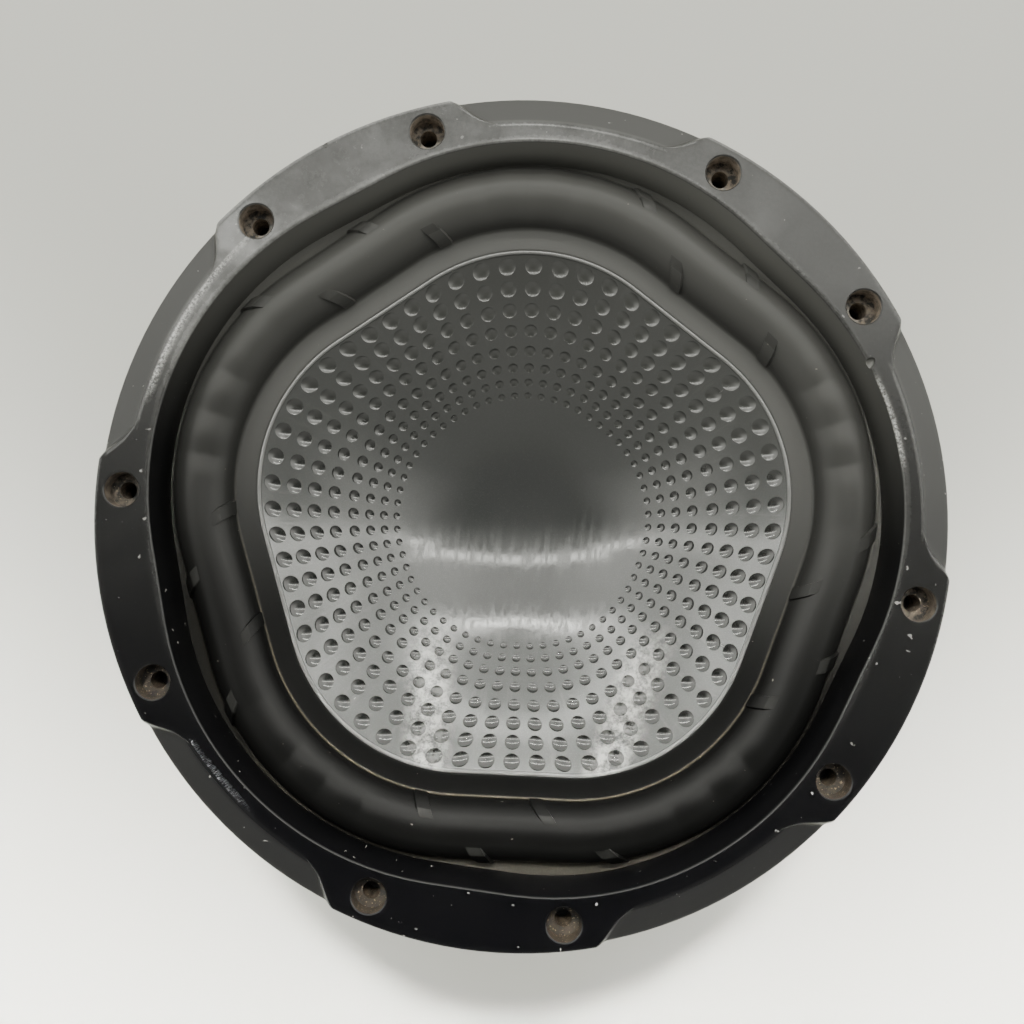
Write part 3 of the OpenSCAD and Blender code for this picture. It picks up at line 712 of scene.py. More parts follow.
print("masks of the plastic:", len(finish.node_tree.nodes), "nodes")

# %% Wear and painted sheen on the trim ring
sheen_side = bearing.within(0.9, 1.6, 2.75, 3.0)
rub = place.noise(700, 4.0, 0.7).between(0.2, 0.8) * 0.6 + place.noise(45, 3.0, 0.6) * 0.6
rub = rub * on_top
from_edge = reach - (bearing * 5).math("SINE") * 1.9 - 118.2
inner_edge = 1 - from_edge.between(0.4, 2.6)
from_step = abs(reach - SCALLOP_R)
step = (1 - from_step.between(0.1, 0.7)) * abs(folded).between(0.312, 0.322)
edges = inner_edge + reach.between(133.6, 134.6)
# The upper-left lands and the edges are lightened partly by wear and partly by painted sheen, and by painted
# haze towards the top.
worn = sheen_side * (0.32 + edges * 0.8) + painted_haze * edges * 0.6 + painted_haze * 0.1
worn = rub * worn + step * painted_haze * rub * 0.4

slant = chart(bearing * 430.0 + reach * 0.9, reach * 0.33)
strokes = slant.noise(1.0, 4.0, 0.7).between(0.46, 0.66)
scrape_arc = reach.within(122.6, 124.6, 124.8, 125.2) * bearing.within(-2.44, -2.40, -2.30, -2.14)
scrape = scrape_arc * strokes * on_top * handling.between(0.35, 0.6)
# Painted highlight: left_arc and right_arc carry pale speckled streaks along the upper-left and right
# strips.
left_arc = reach.within(122.4, 124.8, 124.9, 125.5) * bearing.within(2.36, 2.62, 2.90, 3.0)
right_arc = (1 - from_edge.between(0.3, 1.9)) * bearing.within(0.25, 0.33, 0.50, 0.54)
glint = (left_arc + right_arc) * on_top * place.noise(1300, 4.0, 0.75).between(0.36, 0.66)
print("masks with wear:", len(finish.node_tree.nodes), "nodes")

# %% The trim ring's colours
# Painted haze: the ring's inner walls are painted pale grey towards the top, as if lit there.
painted_haze_wall = y.between(0, 130) * below_top * (1 - matt)
sand = place.noise(1400, 2.0).between(0.62, 0.70) * in_hole * below_top
base = paint(
    handling.blend((0.0007, 0.0007, 0.0010), (0.0016, 0.0016, 0.0020)),
    # painted haze: the matt scallops are painted lighter towards the top
    (matt * 0.8, (painted_haze * painted_haze).blend((0.006, 0.006, 0.0062), (0.042, 0.042, 0.040))),
    (painted_haze_wall, (0.20, 0.20, 0.186)),
    # painted haze: the top faces are painted lighter towards the top
    (painted_haze * on_top, (0.014, 0.014, 0.0134)),
    # wear, partly painted sheen on the upper-left lands
    (worn * (0.4 + grain * 0.6), (0.16, 0.16, 0.155)),
    (scrape, (0.19, 0.195, 0.21)),
    # painted highlight streaks of the glint
    (glint, (0.40, 0.40, 0.385)),
    (flecks, (0.16, 0.155, 0.15)),
    # dust in the holes, painted lighter towards the top as painted haze
    (hole_dust, painted_haze.blend((0.042, 0.031, 0.021), (0.42, 0.35, 0.28))),
    (sand, (0.26, 0.21, 0.14)),
)
fillet = (1 - z.between(TRIM_TOP - 0.12, TRIM_TOP - 0.02)) * (1 - reach.between(121, 121.5))
rough = 0.15 + handling * 0.16 + worn * 0.12 + matt * 0.22 + in_hole * below_top * 0.25 + fillet * 0.2
height = grain * 0.4 + handling * 0.6 + flecks * 2.0 + thread * 3.0
patches = place.noise(44, 4.0, 0.65).between(0.40, 0.62)
polish = on_top * sheen_side * (patches * 0.9 + rub * 0.2)
feed(shader, base_color=base, roughness=rough, normal=height.bump(0.10, 0.0004))
feed(shader, coat_weight=polish, coat_roughness=0.15)
dress(trim, finish)

# %% [markdown]
# ## The rubber surround
# The surround is one moulded half roll between the cone's lip and the basket. Its outline is the same
# rounded pentagon as the cone's. Each corner has a few creases between soft bumps, which let the tight
# bend stretch. Twenty short ribs stand on its flanks. A rolled sheet gives the grooves, and one
# function shapes each rib where it stands, because a rib's lean follows the pentagon.

# %% The roll's section
LIP = 7.6
ROLL = 19.9
ROLL_H = 9.6
RUBBER = 1.2
Z_SEAT = 131.0
Z_LIP = 132.2
Z_LAND = 131.2
RIM_FLAT = 83
RIM_CORNER = 58


def rim(out, angle):
    """Distance from the axis to a line that runs a given way out from the cone's rim."""
    return pentagon(RIM_FLAT + out, RIM_CORNER + out, angle)


def roll_point(turn_angle, inset=0.0):
    """Offset from the cone's rim and height on the half roll, from 180 at its inner foot to 0."""
    share = 1 - turn_angle / pi
    base = (1 - share) * Z_LIP + share * Z_LAND - inset
    out = LIP + ROLL / 2 + (ROLL / 2 - inset) * np.cos(turn_angle)
    return out, base + ROLL_H * np.sin(turn_angle)


section = [(0.08, Z_LIP - 0.1, 0)] + [(out, Z_LIP, 0) for out in (0.25, 0.8, 3.0, LIP - 1.2)]
section += [(LIP - 0.6, Z_LIP + 0.1, 0), (LIP - 0.2, Z_LIP + 0.45, 0.02)]
section += [(*roll_point(a), sin(a)) for a in np.radians(np.linspace(171, 9, 28))]
section += [(LIP + ROLL + 0.2, Z_LAND + 0.45, 0.02), (LIP + ROLL + 0.6, Z_LAND + 0.1, 0)]
section += [(LIP + ROLL + 1.2, Z_LAND, 0), (LIP + ROLL + 2.6, Z_LAND, 0)]
rim_row = len(section)
section += [(0, Z_LAND - 0.1, 0), (0, FLANGE, 0)]
section += [(*roll_point(a, RUBBER), sin(a)) for a in np.radians(np.linspace(0, 180, 15))]
section += [(0.08, Z_SEAT, 0)]
section = np.array(section)
print("section of the roll:", len(section), "points")

# %% Roll the surround with its creases
SURROUND_R = 122.55
SURROUND_COLUMNS = 720
CONE_TURN = pi / 2 + radians(5.6)
CREASES = ((-17, 0.2), (-6, 0.7), (1.5, 0.7), (9, 0.7))
CREASE_W = 3.75
CREASE_DEPTH = 0.95


def groove_depth(angle):
    """Depth of the creases at angles from a corner: sharp at the foot, round between."""
    off = np.degrees(angle - SECTOR * np.round(angle / SECTOR))
    depth = np.zeros_like(off)
    for centre, deepest in CREASES:
        near = np.clip(1 - np.abs(off - centre) / CREASE_W, 0, 1)
        depth += deepest * (near ** 2 + ease(near)) / 2
    return depth


def surround_rule(column, row):
    out, height, groove = section[row % len(section)].T
    angle = column * 2 * pi / SURROUND_COLUMNS
    radius = rim(out, angle)
    at_rim = np.isin(row % len(section), (rim_row, rim_row + 1))
    radius = np.where(at_rim, SURROUND_R, radius)
    out = np.where(at_rim, LIP + ROLL + 4, out)
    height = height - CREASE_DEPTH * groove * groove_depth(angle)
    return polar(radius, angle + CONE_TURN, height), {"across": out, "facet": 0 * out}


surround = roll_sheet("rubber_surround", SURROUND_COLUMNS, len(section), surround_rule)
print("surround:", faces_of(surround), "triangles")

# %% Twenty ribs on its flanks
RIB_ROWS = [(0.0, 1.0), (0.22, 1.0), (0.46, 1.0), (0.70, 1.0), (0.73, 1.0), (1.0, -0.1)]
RIB_COLUMNS = (-1, -0.86, -0.4, 0, 0.4, 0.86, 1)
RIB_W = 5.4
RIB_H = 0.95
RIB_R = 105
LEAN = tan(radians(40))


def rib(name, angle, inner):
    """A short bar up one flank of the roll, with a ramp at its end that faces the crown."""
    deselect()
    bpy.ops.mesh.primitive_grid_add(x_subdivisions=6, y_subdivisions=5, size=1)
    bar = adopt(name)
    open_mesh()
    extrude((0, 0, 1))
    close_mesh()
    flat = points_of(bar)
    wide = np.array(RIB_COLUMNS)[cell(flat[:, 0], 6)]
    along, lift = np.array(RIB_ROWS)[cell(flat[:, 1], 5)].T
    lift = np.where(np.abs(wide) > 0.95, -0.1, lift)
    lift = np.where(flat[:, 2] > 0.5, lift * RIB_H, -0.5)
    foot, head = (172, 112) if inner else (8, 68)
    turn_angle = np.radians(foot + (head - foot) * along)
    out, height = roll_point(turn_angle)
    away = np.stack([np.cos(turn_angle) / (ROLL / 2), np.sin(turn_angle) / ROLL_H])
    away /= np.linalg.norm(away, axis=0)
    shift = LEAN * (out - LIP - (0 if inner else ROLL)) + wide * RIB_W / 2
    theta = angle + shift / RIB_R
    radius = rim(out + lift * away[0], theta)
    move_points(bar, polar(radius, theta + CONE_TURN, height + lift * away[1]) * MM)
    note(bar, "across", out)
    note(bar, "facet", along > 0.72)
    seal(bar)
    return bar


ribs = []
for side in range(5):
    middle = SECTOR * (side + 0.5)
    for offset, inner in ((-18, True), (5.2, True), (-3.4, False), (18.8, False)):
        ribs.append(rib("roll_rib", middle + radians(offset), inner))
join([surround] + ribs)
smooth(surround, 40)

# %% Let the roll bend between the basket and the cone
across = read_note(surround, "across")
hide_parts("surround")
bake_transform(surround, "frame", "moving_cone", start=(0, 0.12, 0.13), end=(0, 0.08, 0.13))
share = np.clip((across - LIP) / ROLL, 0, 1)
note(surround, "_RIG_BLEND", 1 - ease(share))
print("surround points that bend:", int(((share > 0) & (share < 1)).sum()), "of", len(share))

# %% [markdown]
# ## Rubber
# Old rubber is black with a soft grey bloom. A painted grey haze lightens it towards the top of the
# picture, most on the lip and on the flat edge outside the roll, and the ribs' end facets get a
# painted highlight. More dust gathers where the roll meets the lip and on the flat edge outside it.
# The number noted on each point says how far it lies from the cone's rim, so the dust lines follow
# the pentagon.

# %% Dusty black rubber, with painted haze and highlights
finish, shader, place = new_finish("bloomed_rubber")
y = axes(place)[1]
across = place.noted("across")
bloom = place.noise(70, 4.0, 0.6)
speck = place.noise(620, 1.0, 0.4).between(0.80, 0.83)
crumbs = place.noise(900, 5.0, 0.8).between(0.42, 0.72)
near_foot = 1 - abs(across - LIP + 0.5).between(0.08, 0.42)
low_side = 1 - y.between(-75, 20)
dust_line = near_foot * (0.35 + crumbs * 0.65) * low_side
# Painted highlight: the ribs' end facets are painted lighter, as lit faces.
painted_facet_highlight = place.noted("facet").between(0.4, 0.95) * bloom.between(0.25, 0.5)
# Painted haze: lightens the rubber towards the top of the picture.
painted_haze = y.between(-50, 110)
land = across.between(LIP + ROLL - 0.3, LIP + ROLL + 0.5)
land_dust = land * (0.4 + crumbs * 0.6) * (1 - y.between(-106, -85) * 0.8)
# Painted haze on the lip, towards the top of the picture.
lip_painted_haze = (1 - across.between(LIP - 1.2, LIP - 0.3)) * y.between(-40, 100)
base = paint(
    bloom.blend((0.0012, 0.0012, 0.0012), (0.0026, 0.0026, 0.0025)),
    (painted_haze, (0.058, 0.058, 0.055)),
    (lip_painted_haze, (0.074, 0.074, 0.071)),
    # painted light: the flat edge outside the roll, in shade, is painted pale towards the top
    (land * painted_haze, (0.16, 0.16, 0.15)),
    (land_dust * 0.8, (0.050, 0.046, 0.037)),
    # painted highlight on the ribs' end facets
    (painted_facet_highlight * 0.6, (0.014, 0.014, 0.0132)),
    (speck, (0.16, 0.15, 0.13)),
    (dust_line * 0.6, (0.12, 0.10, 0.065)),
)
rough = 0.36 + bloom * 0.08 + dust_line * 0.2 + land_dust * 0.2
grain = place.noise(1900, 3.0, 0.6)
feed(shader, base_color=base, roughness=rough, normal=grain.bump(0.06, 0.0003))
feed(shader, specular_ior_level=0.27)
dress(surround, finish)

# %% [markdown]
# ## The dimpled cone
# The dish is one smooth pentagon bowl with eight rows of sixty round dents. One dent is modelled as
# a flat tile: a disc, inset in rings, with a skirt drawn out to a square. Two Array modifiers lay it
# out sixty by eight, the free edges are extruded for the bare centre, the bead and the back, and the
# sheet is wrapped on the bowl. The face's curve comes from the arcs of light that it mirrors in the
# photograph, and is a little shallower than the solid's. The back keeps the solid's own curve.

# %% The bowl's shape
DISH = 81.6
DEPTH = 37.0
DISH_CORNER = 25.0
SLOPE = ((1, 0.883), (3, 2.165), (5, -6.119), (7, 3.616))
ROWS = (0.527, 0.576, 0.629, 0.688, 0.757, 0.825, 0.895, 0.966)
DENT_D = (2.55, 3.05, 3.5, 4.0, 4.5, 5.0, 5.35, 5.7)
DENT_SINK = 0.124
BOUNDS = (0.503, 0.549, 0.599, 0.655, 0.718, 0.787, 0.856, 0.927, 1.0)
DENTS = 60
PITCH = 2 * pi / DENTS
LAST_EDGE = len(ROWS) - 0.5


def front_fall(u):
    """Fall of the face below the lip. Its slope grows faster than u, then eases off."""
    return DISH * sum(c / (n + 1) * (1 - u ** (n + 1)) for n, c in SLOPE)


def back_fall(u):
    return DEPTH * (0.4 * (1 + np.cos(np.pi * u)) / 2 + 0.6 * (1 - u * u)) + 1.2


def dish_point(u, theta, fall=front_fall):
    """A point of the bowl at a share of the way out and an angle from the first corner."""
    radius = pentagon(DISH * u, DISH * u - DISH_CORNER * u ** 3, theta)
    return polar(radius, theta + CONE_TURN, Z_LIP - fall(u))


def dish_normal(u, theta):
    """The face's normal, and how fast the face runs outwards as u grows."""
    d = 1e-4
    along = dish_point(u + d, theta) - dish_point(u - d, theta)
    around = dish_point(u, theta + d) - dish_point(u, theta - d)
    normal = np.cross(along, around)
    normal /= np.linalg.norm(normal, axis=1, keepdims=True)
    return normal, np.linalg.norm(along, axis=1) / (2 * d)


print("bowl:", round(front_fall(0), 1), "mm deep in front,", back_fall(0).round(1), "mm behind")

# %% One dent, as a flat tile
DENT_RINGS = ((1.08, 0.0), (1.0, 0.0), (0.86, 0.28), (0.6, 0.66), (0.3, 0.92), (0.0, 1.0))
DENT_SIDES = 16
TILE_R = 0.3

deselect()
bpy.ops.mesh.primitive_circle_add(vertices=DENT_SIDES, radius=TILE_R, fill_type="NGON")
cone = adopt("dimpled_cone")
open_mesh()
for (outer, _), (inner, _) in zip(DENT_RINGS[1:4], DENT_RINGS[2:5]):
    bpy.ops.mesh.inset(thickness=(outer - inner) * TILE_R * cos(pi / DENT_SIDES))
bpy.ops.mesh.poke()
bpy.ops.mesh.select_all(action="DESELECT")
bpy.ops.mesh.select_mode(type="EDGE")
bpy.ops.mesh.select_non_manifold()
for grow in (1.08, 1.5):
    bpy.ops.mesh.extrude_region_move()
    bpy.ops.transform.resize(value=(grow, grow, 1), center_override=(0, 0, 0))
close_mesh()
tile = points_of(cone)
skirt = np.linalg.norm(tile[:, :2], axis=1) > TILE_R * 1.3
tile[skirt] *= (0.5 / np.abs(tile[skirt, :2]).max(axis=1))[:, None]
move_points(cone, tile)
print("one dent:", len(cone.data.polygons), "faces")

# %% Sixty by eight dents, then the centre, the bead and the back
for step, count in (((1, 0, 0), DENTS), ((0, 1, 0), len(ROWS))):
    apply_modifier(
        cone, "ARRAY", count=count, use_relative_offset=False, use_constant_offset=True,
        constant_offset_displace=step, use_merge_vertices=True, merge_threshold=1e-3,
    )

BEAD = [(-1.3, 132.45), (-1.1, 132.68), (-0.8, 132.8), (-0.5, 132.8)]
BEAD += [(-0.22, 132.68), (-0.05, 132.45), (0, 132.1)]
BEAD += [(0, Z_SEAT), (7.0, Z_SEAT), (7.0, Z_SEAT - 1.2), (-1.4, Z_SEAT - 1.2)]
UNDER = (0.93, 0.8, 0.66, 0.5, 0.34, 0.18, 0.0)
CENTRE = 12


def extrude_row(level, step, rows):
    """Extrude the free edge at a level in y, a number of times."""
    take(cone)
    open_mesh()
    bpy.ops.mesh.select_all(action="DESELECT")
    close_mesh()
    at_level = np.abs(points_of(cone)[:, 1] - level) < 1e-3
    for edge in cone.data.edges:
        edge.select = bool(at_level[edge.vertices[0]] and at_level[edge.vertices[1]])
    bpy.ops.object.mode_set(mode="EDIT")
    for _ in range(rows):
        extrude((0, step, 0))
    close_mesh()


open_mesh()
bpy.ops.mesh.select_mode(type="EDGE")
close_mesh()
extrude_row(LAST_EDGE, 1, len(BEAD) + len(UNDER))
extrude_row(-0.5, -1, CENTRE)
print("flat cone:", len(cone.data.vertices), "points")

# %% Wrap the flat sheet on the bowl
flat = points_of(cone)
theta = flat[:, 0] * PITCH
row = np.clip(np.rint(flat[:, 1]), 0, len(ROWS) - 1).astype(int)
local = flat[:, :2] - np.stack([np.rint(flat[:, 0]), row], axis=1)
in_dents = (flat[:, 1] > -0.501) & (flat[:, 1] < LAST_EDGE + 0.001)
on_edge = np.abs(local).max(axis=1) > 0.499
u = np.interp(flat[:, 1], np.arange(len(BOUNDS)) - 0.5, BOUNDS)
centre_row = np.clip((-0.5 - flat[:, 1]) / CENTRE, 0, 1)
u = u * (1 - centre_row)
inside = in_dents & ~on_edge
dent_r = np.array(DENT_D)[row] / 2
dent_theta = np.rint(flat[:, 0]) * PITCH
dent_u = np.array(ROWS)[row]
normal, stretch = dish_normal(dent_u, dent_theta)
plan_r = np.linalg.norm(dish_point(dent_u, dent_theta)[:, :2], axis=1)
spread = np.linalg.norm(local, axis=1) / TILE_R
theta = np.where(inside, dent_theta + local[:, 0] / TILE_R * dent_r / plan_r, theta)
u = np.where(inside, dent_u + local[:, 1] / TILE_R * dent_r / stretch, u)
ring_r, ring_depth = np.array(DENT_RINGS[::-1]).T
sunk = np.where(inside, np.interp(spread, ring_r, ring_depth), 0)
points = dish_point(np.maximum(u, 1e-6), theta)
normal = dish_normal(np.maximum(u, 1e-3), theta)[0]
points -= normal * (sunk * dent_r * 2 * DENT_SINK)[:, None]
outer = np.rint(flat[:, 1] - LAST_EDGE).astype(int)
for k, (out, height) in enumerate(BEAD, start=1):
    at = outer == k
    points[at] = polar(rim(out, theta[at]), theta[at] + CONE_TURN, height)
for k, share in enumerate(UNDER, start=len(BEAD) + 1):
    at = outer == k
    points[at] = dish_point(np.full(at.sum(), max(share, 1e-6)), theta[at], back_fall)
move_points(cone, points * MM)
note(cone, "dent", sunk)
seal(cone)
smooth(cone, 24)
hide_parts("cone")
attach(cone, "moving_cone")

# %% [markdown]
# ## The cone's finish
# It is grey moulded plastic with a fine silver fleck. The bare centre is glossy, with fine lines that
# break up the arcs of light. The skin between the dents is satin, and the dents shine again, more so
# away from the painted haze that lightens the dish towards the top of the picture. Handling has left
# faint streaks that run outwards. Two pale bands towards the bottom of the picture are partly dusty
# scuffs and partly painted highlight, and the bead gets a painted highlight.

# %% Masks on the silver grey plastic
finish, shader, place = new_finish("silver_satin_plastic")
x, y, z = axes(place)
reach, bearing = length(x, y), y.math("ARCTAN2", x)
dented = place.noted("dent").between(0.02, 0.2)
dimpled = reach.between(36, 54)
skin = dimpled * (1 - dented)
bead = z.between(132.35, 132.6)
# Painted haze: lightens the cone and its dents towards the top of the picture.
painted_haze = y.between(-20, 85)
fleck = place.noise(5200, 1.0, 0.5)
cloud = place.noise(34, 4.0, 0.6)
mottle = place.noise(800, 4.0, 0.7)
rays = chart(bearing * 9.0, reach * 0.026).noise(2.2, 4.0, 0.65)
streak = rays.between(0.55, 0.75) * reach.between(45, 70)
brushed = place.noise(620, 2.0, 0.6, stretch=(1, 0.04, 1)).between(0.40, 0.62) * (1 - dimpled)
print("masks of the cone:", len(finish.node_tree.nodes), "nodes")

# %% Two bands of scuff and painted highlight, then the cone's colours
PICTURE_TURN = radians(7)
across = x * cos(PICTURE_TURN) + y * sin(PICTURE_TURN)
down = y * cos(PICTURE_TURN) - x * sin(PICTURE_TURN)
# The two bands lie on the dish's highlight legs: partly scuff, partly painted highlight.
left_band = 1 - abs(across + 30).between(1, 10)
right_band = 1 - abs(across - down * 0.39 - 60.3).between(1, 10)
scuff_and_painted_highlight = (left_band + right_band) * (1 - down.between(-54, -30)) * (1 - dented * 0.8)
scuff_and_painted_highlight = scuff_and_painted_highlight * place.noise(260, 5.0, 0.75).between(0.34, 0.66)
base = paint(
    cloud.blend((0.027, 0.0285, 0.028), (0.033, 0.0345, 0.034)),
    (dimpled * 0.8, (0.037, 0.0385, 0.0375)),
    (fleck.between(0.55, 0.75) * 0.3, (0.10, 0.103, 0.102)),
    (streak * 0.14, (0.12, 0.12, 0.117)),
    # painted haze on the dish
    (painted_haze * 0.4, (0.066, 0.066, 0.062)),
    # the dents, painted lighter towards the top as painted haze
    (dented, painted_haze.blend((0.015, 0.0155, 0.015), (0.049, 0.050, 0.047))),
    # painted highlight along the bead's rounded edge
    (bead * 0.7, (0.16, 0.16, 0.157)),
    # bands of scuff and painted highlight
    (scuff_and_painted_highlight * 0.62, (0.40, 0.40, 0.382)),
)
rough = 0.045 + cloud * 0.03 + streak * 0.10 + skin * 0.12 + brushed * 0.14
rough = rough + dented * 0.012 + dented * painted_haze * 0.15
height = fleck * 0.3 + cloud * 0.2 + mottle * (skin * 2.0 + 0.5)
feed(shader, base_color=base, roughness=rough, specular_ior_level=1.0)
feed(shader, normal=height.bump(0.06, 0.0003))
dress(cone, finish)

# %% [markdown]
# ## Softened copies of the hard parts
# The basket, plates and block are right as solids, but a pressed or moulded edge is never razor sharp.
# Each solid is copied, its loose triangles are merged, its flat faces are joined again, and a Bevel
# modifier rounds what is left. The copy then stands in for its solid, which stays for touch.

# %% A helper that rounds a copy of a solid
FLAT_ANGLE = 0.4
SHARP_ANGLE = 38


def soften(node, name, width):
    """A copy of a packed solid with its sharp edges rounded by a width in mm."""
    source = frame["nodes"][node]
    piece = bpy.data.objects.new(name, source.data.copy())
    scene.collection.objects.link(piece)
    take(piece)
    open_mesh()
    bpy.ops.mesh.remove_doubles(threshold=SEAM)
    bpy.ops.mesh.dissolve_limited(angle_limit=radians(FLAT_ANGLE))
    close_mesh()
    if width:
        limit = {"limit_method": "ANGLE", "angle_limit": radians(SHARP_ANGLE)}
        apply_modifier(piece, "BEVEL", width=width * MM, segments=2, **limit)
    smooth(piece, SHARP_ANGLE)
    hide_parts(node)
    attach(piece, source["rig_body"])
    return piece


# %% Round the basket, the plates, the block and its buttons
basket = soften("basket", "pressed_basket", 0.45)
rivets = soften("basket_rivets", "dome_rivets", 0)
front_plate = soften("top_plate", "turned_front_plate", 0.5)
vent_mesh = soften("vent_screen", "vent_mesh", 0.15)
block = soften("terminal_block", "moulded_terminal_block", 0.3)
red_button = soften("button_red", "push_button_red", 0.25)
black_button = soften("button_black", "push_button_black", 0.25)
red_contact = soften("contact_red", "brass_contact_red", 0.12)
black_contact = soften("contact_black", "brass_contact_black", 0.12)

# %% [markdown]
# ## Pieces turned on the axis
# The boot, the gasket and the spider are outlines turned once round the axis. Spin would leave a seam,
# so the same rolled grid is used. The boot is a rubber cup with two grooves for grip. The gasket is a
# flat foam ring under the flange. The spider is pressed cloth: five waves between the basket's landing
# and the coil's former.

# %% Boot and gasket


def lathe(name, outline, columns=180):
    """A closed outline in mm, turned once round the axis."""
    outline = np.array(outline)

    def rule(column, row):
        radius, height = outline[row % len(outline)].T
        return polar(radius, column * 2 * pi / columns, height), {"radius": radius}

    return roll_sheet(name, columns, len(outline), rule)


def grip(height):
    """Two shallow grooves across the boot's wall."""
    return 0.55 * sum(np.exp(-((height - level) / 0.9) ** 2) for level in (8.0, 25.0))


wall = [(72 - grip(z), z) for z in np.linspace(1.6, 31.4, 36)]
boot_outline = [(48, 0), (57, 0), (58.4, 0.1), (58.6, 0.6), (61.4, 0.6), (61.6, 0.1), (63, 0), (70.4, 0)]
boot_outline += [(71.2, 0.2), (71.8, 0.8)] + wall
boot_outline += [(71.8, 32.3), (71.2, 32.8), (70.4, 33), (66.6, 33), (66.1, 32.6)]
boot_outline += [(66.1, 31.5), (70.1, 31.5), (70.1, 9.5), (66.1, 9.5), (66.1, 1.5), (48, 1.5)]
boot = lathe("rubber_boot", boot_outline, 240)
smooth(boot, 40)
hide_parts("magnet_boot")
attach(boot, "frame")

# The gasket has no holes: it closes the ring's screw holes from below, so they look dark.
foam = [(118.6, 127.1), (119.0, 126.9), (132.4, 126.9), (132.8, 127.1), (132.8, 128.5), (118.6, 128.5)]
gasket = lathe("foam_gasket", foam, 240)
smooth(gasket, 40)
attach(gasket, "frame")

# %% Spider
WAVES = 5
WAVE_STEPS = 80
WAVE_Z = 66.4
WAVE_H = 2.2
CLOTH_HALF = 0.4
CUFF_R = 26.85
WAVE_IN = 27.65
WAVE_OUT = 67.4

steps = np.arange(WAVE_STEPS + 1) / WAVE_STEPS
wave_r = WAVE_IN + (WAVE_OUT - WAVE_IN) * steps
wave_z = WAVE_Z + WAVE_H * np.sin(2 * pi * WAVES * steps)
under = list(zip(wave_r, wave_z - CLOTH_HALF))
over = list(zip(wave_r, wave_z + CLOTH_HALF))
cloth = [(25.65, 71), (25.65, 66)] + under + [(69, 66), (79.9, 66), (79.9, 66.8), (69, 66.8)]
cloth += over[::-1] + [(CUFF_R + 0.2, 66.9), (CUFF_R, 67.3), (CUFF_R, 71)]
spider = lathe("pressed_spider", cloth, 144)
smooth(spider, 60)
radius = read_note(spider, "radius")
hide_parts("spider")
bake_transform(spider, "frame", "moving_cone", start=(0, 0.0674, 0.0664), end=(0, 0.0276, 0.0664))
share = np.clip((radius - WAVE_IN) / (WAVE_OUT - WAVE_IN), 0, 1)
note(spider, "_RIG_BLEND", 1 - ease(share))

# %% [markdown]
# ## Tinsel leads and button springs
# Each lead is three twisted strands of tinsel that stand in a bow from a contact to a tab on the
# former, so the cone can move. A strand is a rolled grid along the bow. A spring is the classic use of
# the Screw modifier: a small circle wound five times round an axis.

# %% The bow of a lead
LEAD_ROUTE = np.array([
    (0, 0), (0.04, 1.4), (0.12, 4.6), (0.21, 7.5), (0.32, 9.3), (0.43, 9.8),
    (0.55, 8.8), (0.67, 6.4), (0.78, 3.6), (0.89, 1.2), (1, 0),
])
LEAD_START = np.array((8.5, -82.76, 79.7))
LEAD_END = np.array((5.972, -25.87, 81.609))
LEAD_ROWS = 90


def through(knots, t):
    """A smooth curve through rows of knots, for t from 0 to 1."""
    place = np.clip(t, 0, 1) * (len(knots) - 1)
    i = np.minimum(place.astype(int), len(knots) - 2)
    f = (place - i)[:, None]
    padded = np.vstack([2 * knots[0] - knots[1], knots, 2 * knots[-1] - knots[-2]])
    a, b, c, d = (padded[i + k] for k in range(4))
    bend = (2 * a - 5 * b + 4 * c - d) * f ** 2 + (3 * b - a - 3 * c + d) * f ** 3
    return 0.5 * (2 * b + (c - a) * f + bend)


bow = LEAD_START + LEAD_ROUTE[:, :1] * (LEAD_END - LEAD_START) + LEAD_ROUTE[:, 1:] * (0, 0, 1)
steps = np.diff(through(bow, np.linspace(0, 1, LEAD_ROWS + 1)), axis=0)
print("lead:", np.linalg.norm(steps, axis=1).sum().round(1), "mm long")

# %% Twist the strands of two leads
STRANDS = 3
STRAND_R = 0.56
STRAND_OFF = 0.60
STRAND_SIDES = 7
TWISTS = 7


def tinsel_lead(name, side):
    """Three strands twisted along the bow of one lead."""
    mirror = np.array((side, 1, 1))
    knots = bow * mirror
    strands = []
    for strand in range(STRANDS):

        def rule(column, row):
            t = row / LEAD_ROWS
            centre = through(knots, t)
            ahead = through(knots, t + 1e-3) - through(knots, t - 1e-3)
            ahead /= np.linalg.norm(ahead, axis=1, keepdims=True)
            up_axis = np.cross((1.0, 0, 0), ahead)
            turn_angle = 2 * pi * (TWISTS * t + strand / STRANDS)
            roll = turn_angle + 2 * pi * column / STRAND_SIDES
            thick = np.where((row == 0) | (row == LEAD_ROWS), 0, STRAND_R)
            x_off = STRAND_OFF * np.cos(turn_angle) + thick * np.cos(roll)
            up_off = STRAND_OFF * np.sin(turn_angle) + thick * np.sin(roll)
            points = centre + x_off[:, None] * (1, 0, 0) + up_off[:, None] * up_axis
            return points, {"along": t, "round": column / STRAND_SIDES}

        strands.append(roll_sheet(name, STRAND_SIDES, LEAD_ROWS, rule))
    lead = join(strands)
    lead.name = name
    smooth(lead, 60)
    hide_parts(name)
    ends = [tuple(end * mirror * MM) for end in (LEAD_START, LEAD_END)]
    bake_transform(lead, "frame", "moving_cone", start=ends[0], end=ends[1])
    return lead


leads = [tinsel_lead("tinsel_lead_red", 1), tinsel_lead("tinsel_lead_black", -1)]

# %% Two button springs
BUTTON_X = 8.5
BUTTON_Z = 84.5
SPRING_FROM = -103.72
SPRING_TO = -96.25
COILS = 5
COIL_R = 2.35
WIRE_R = 0.25


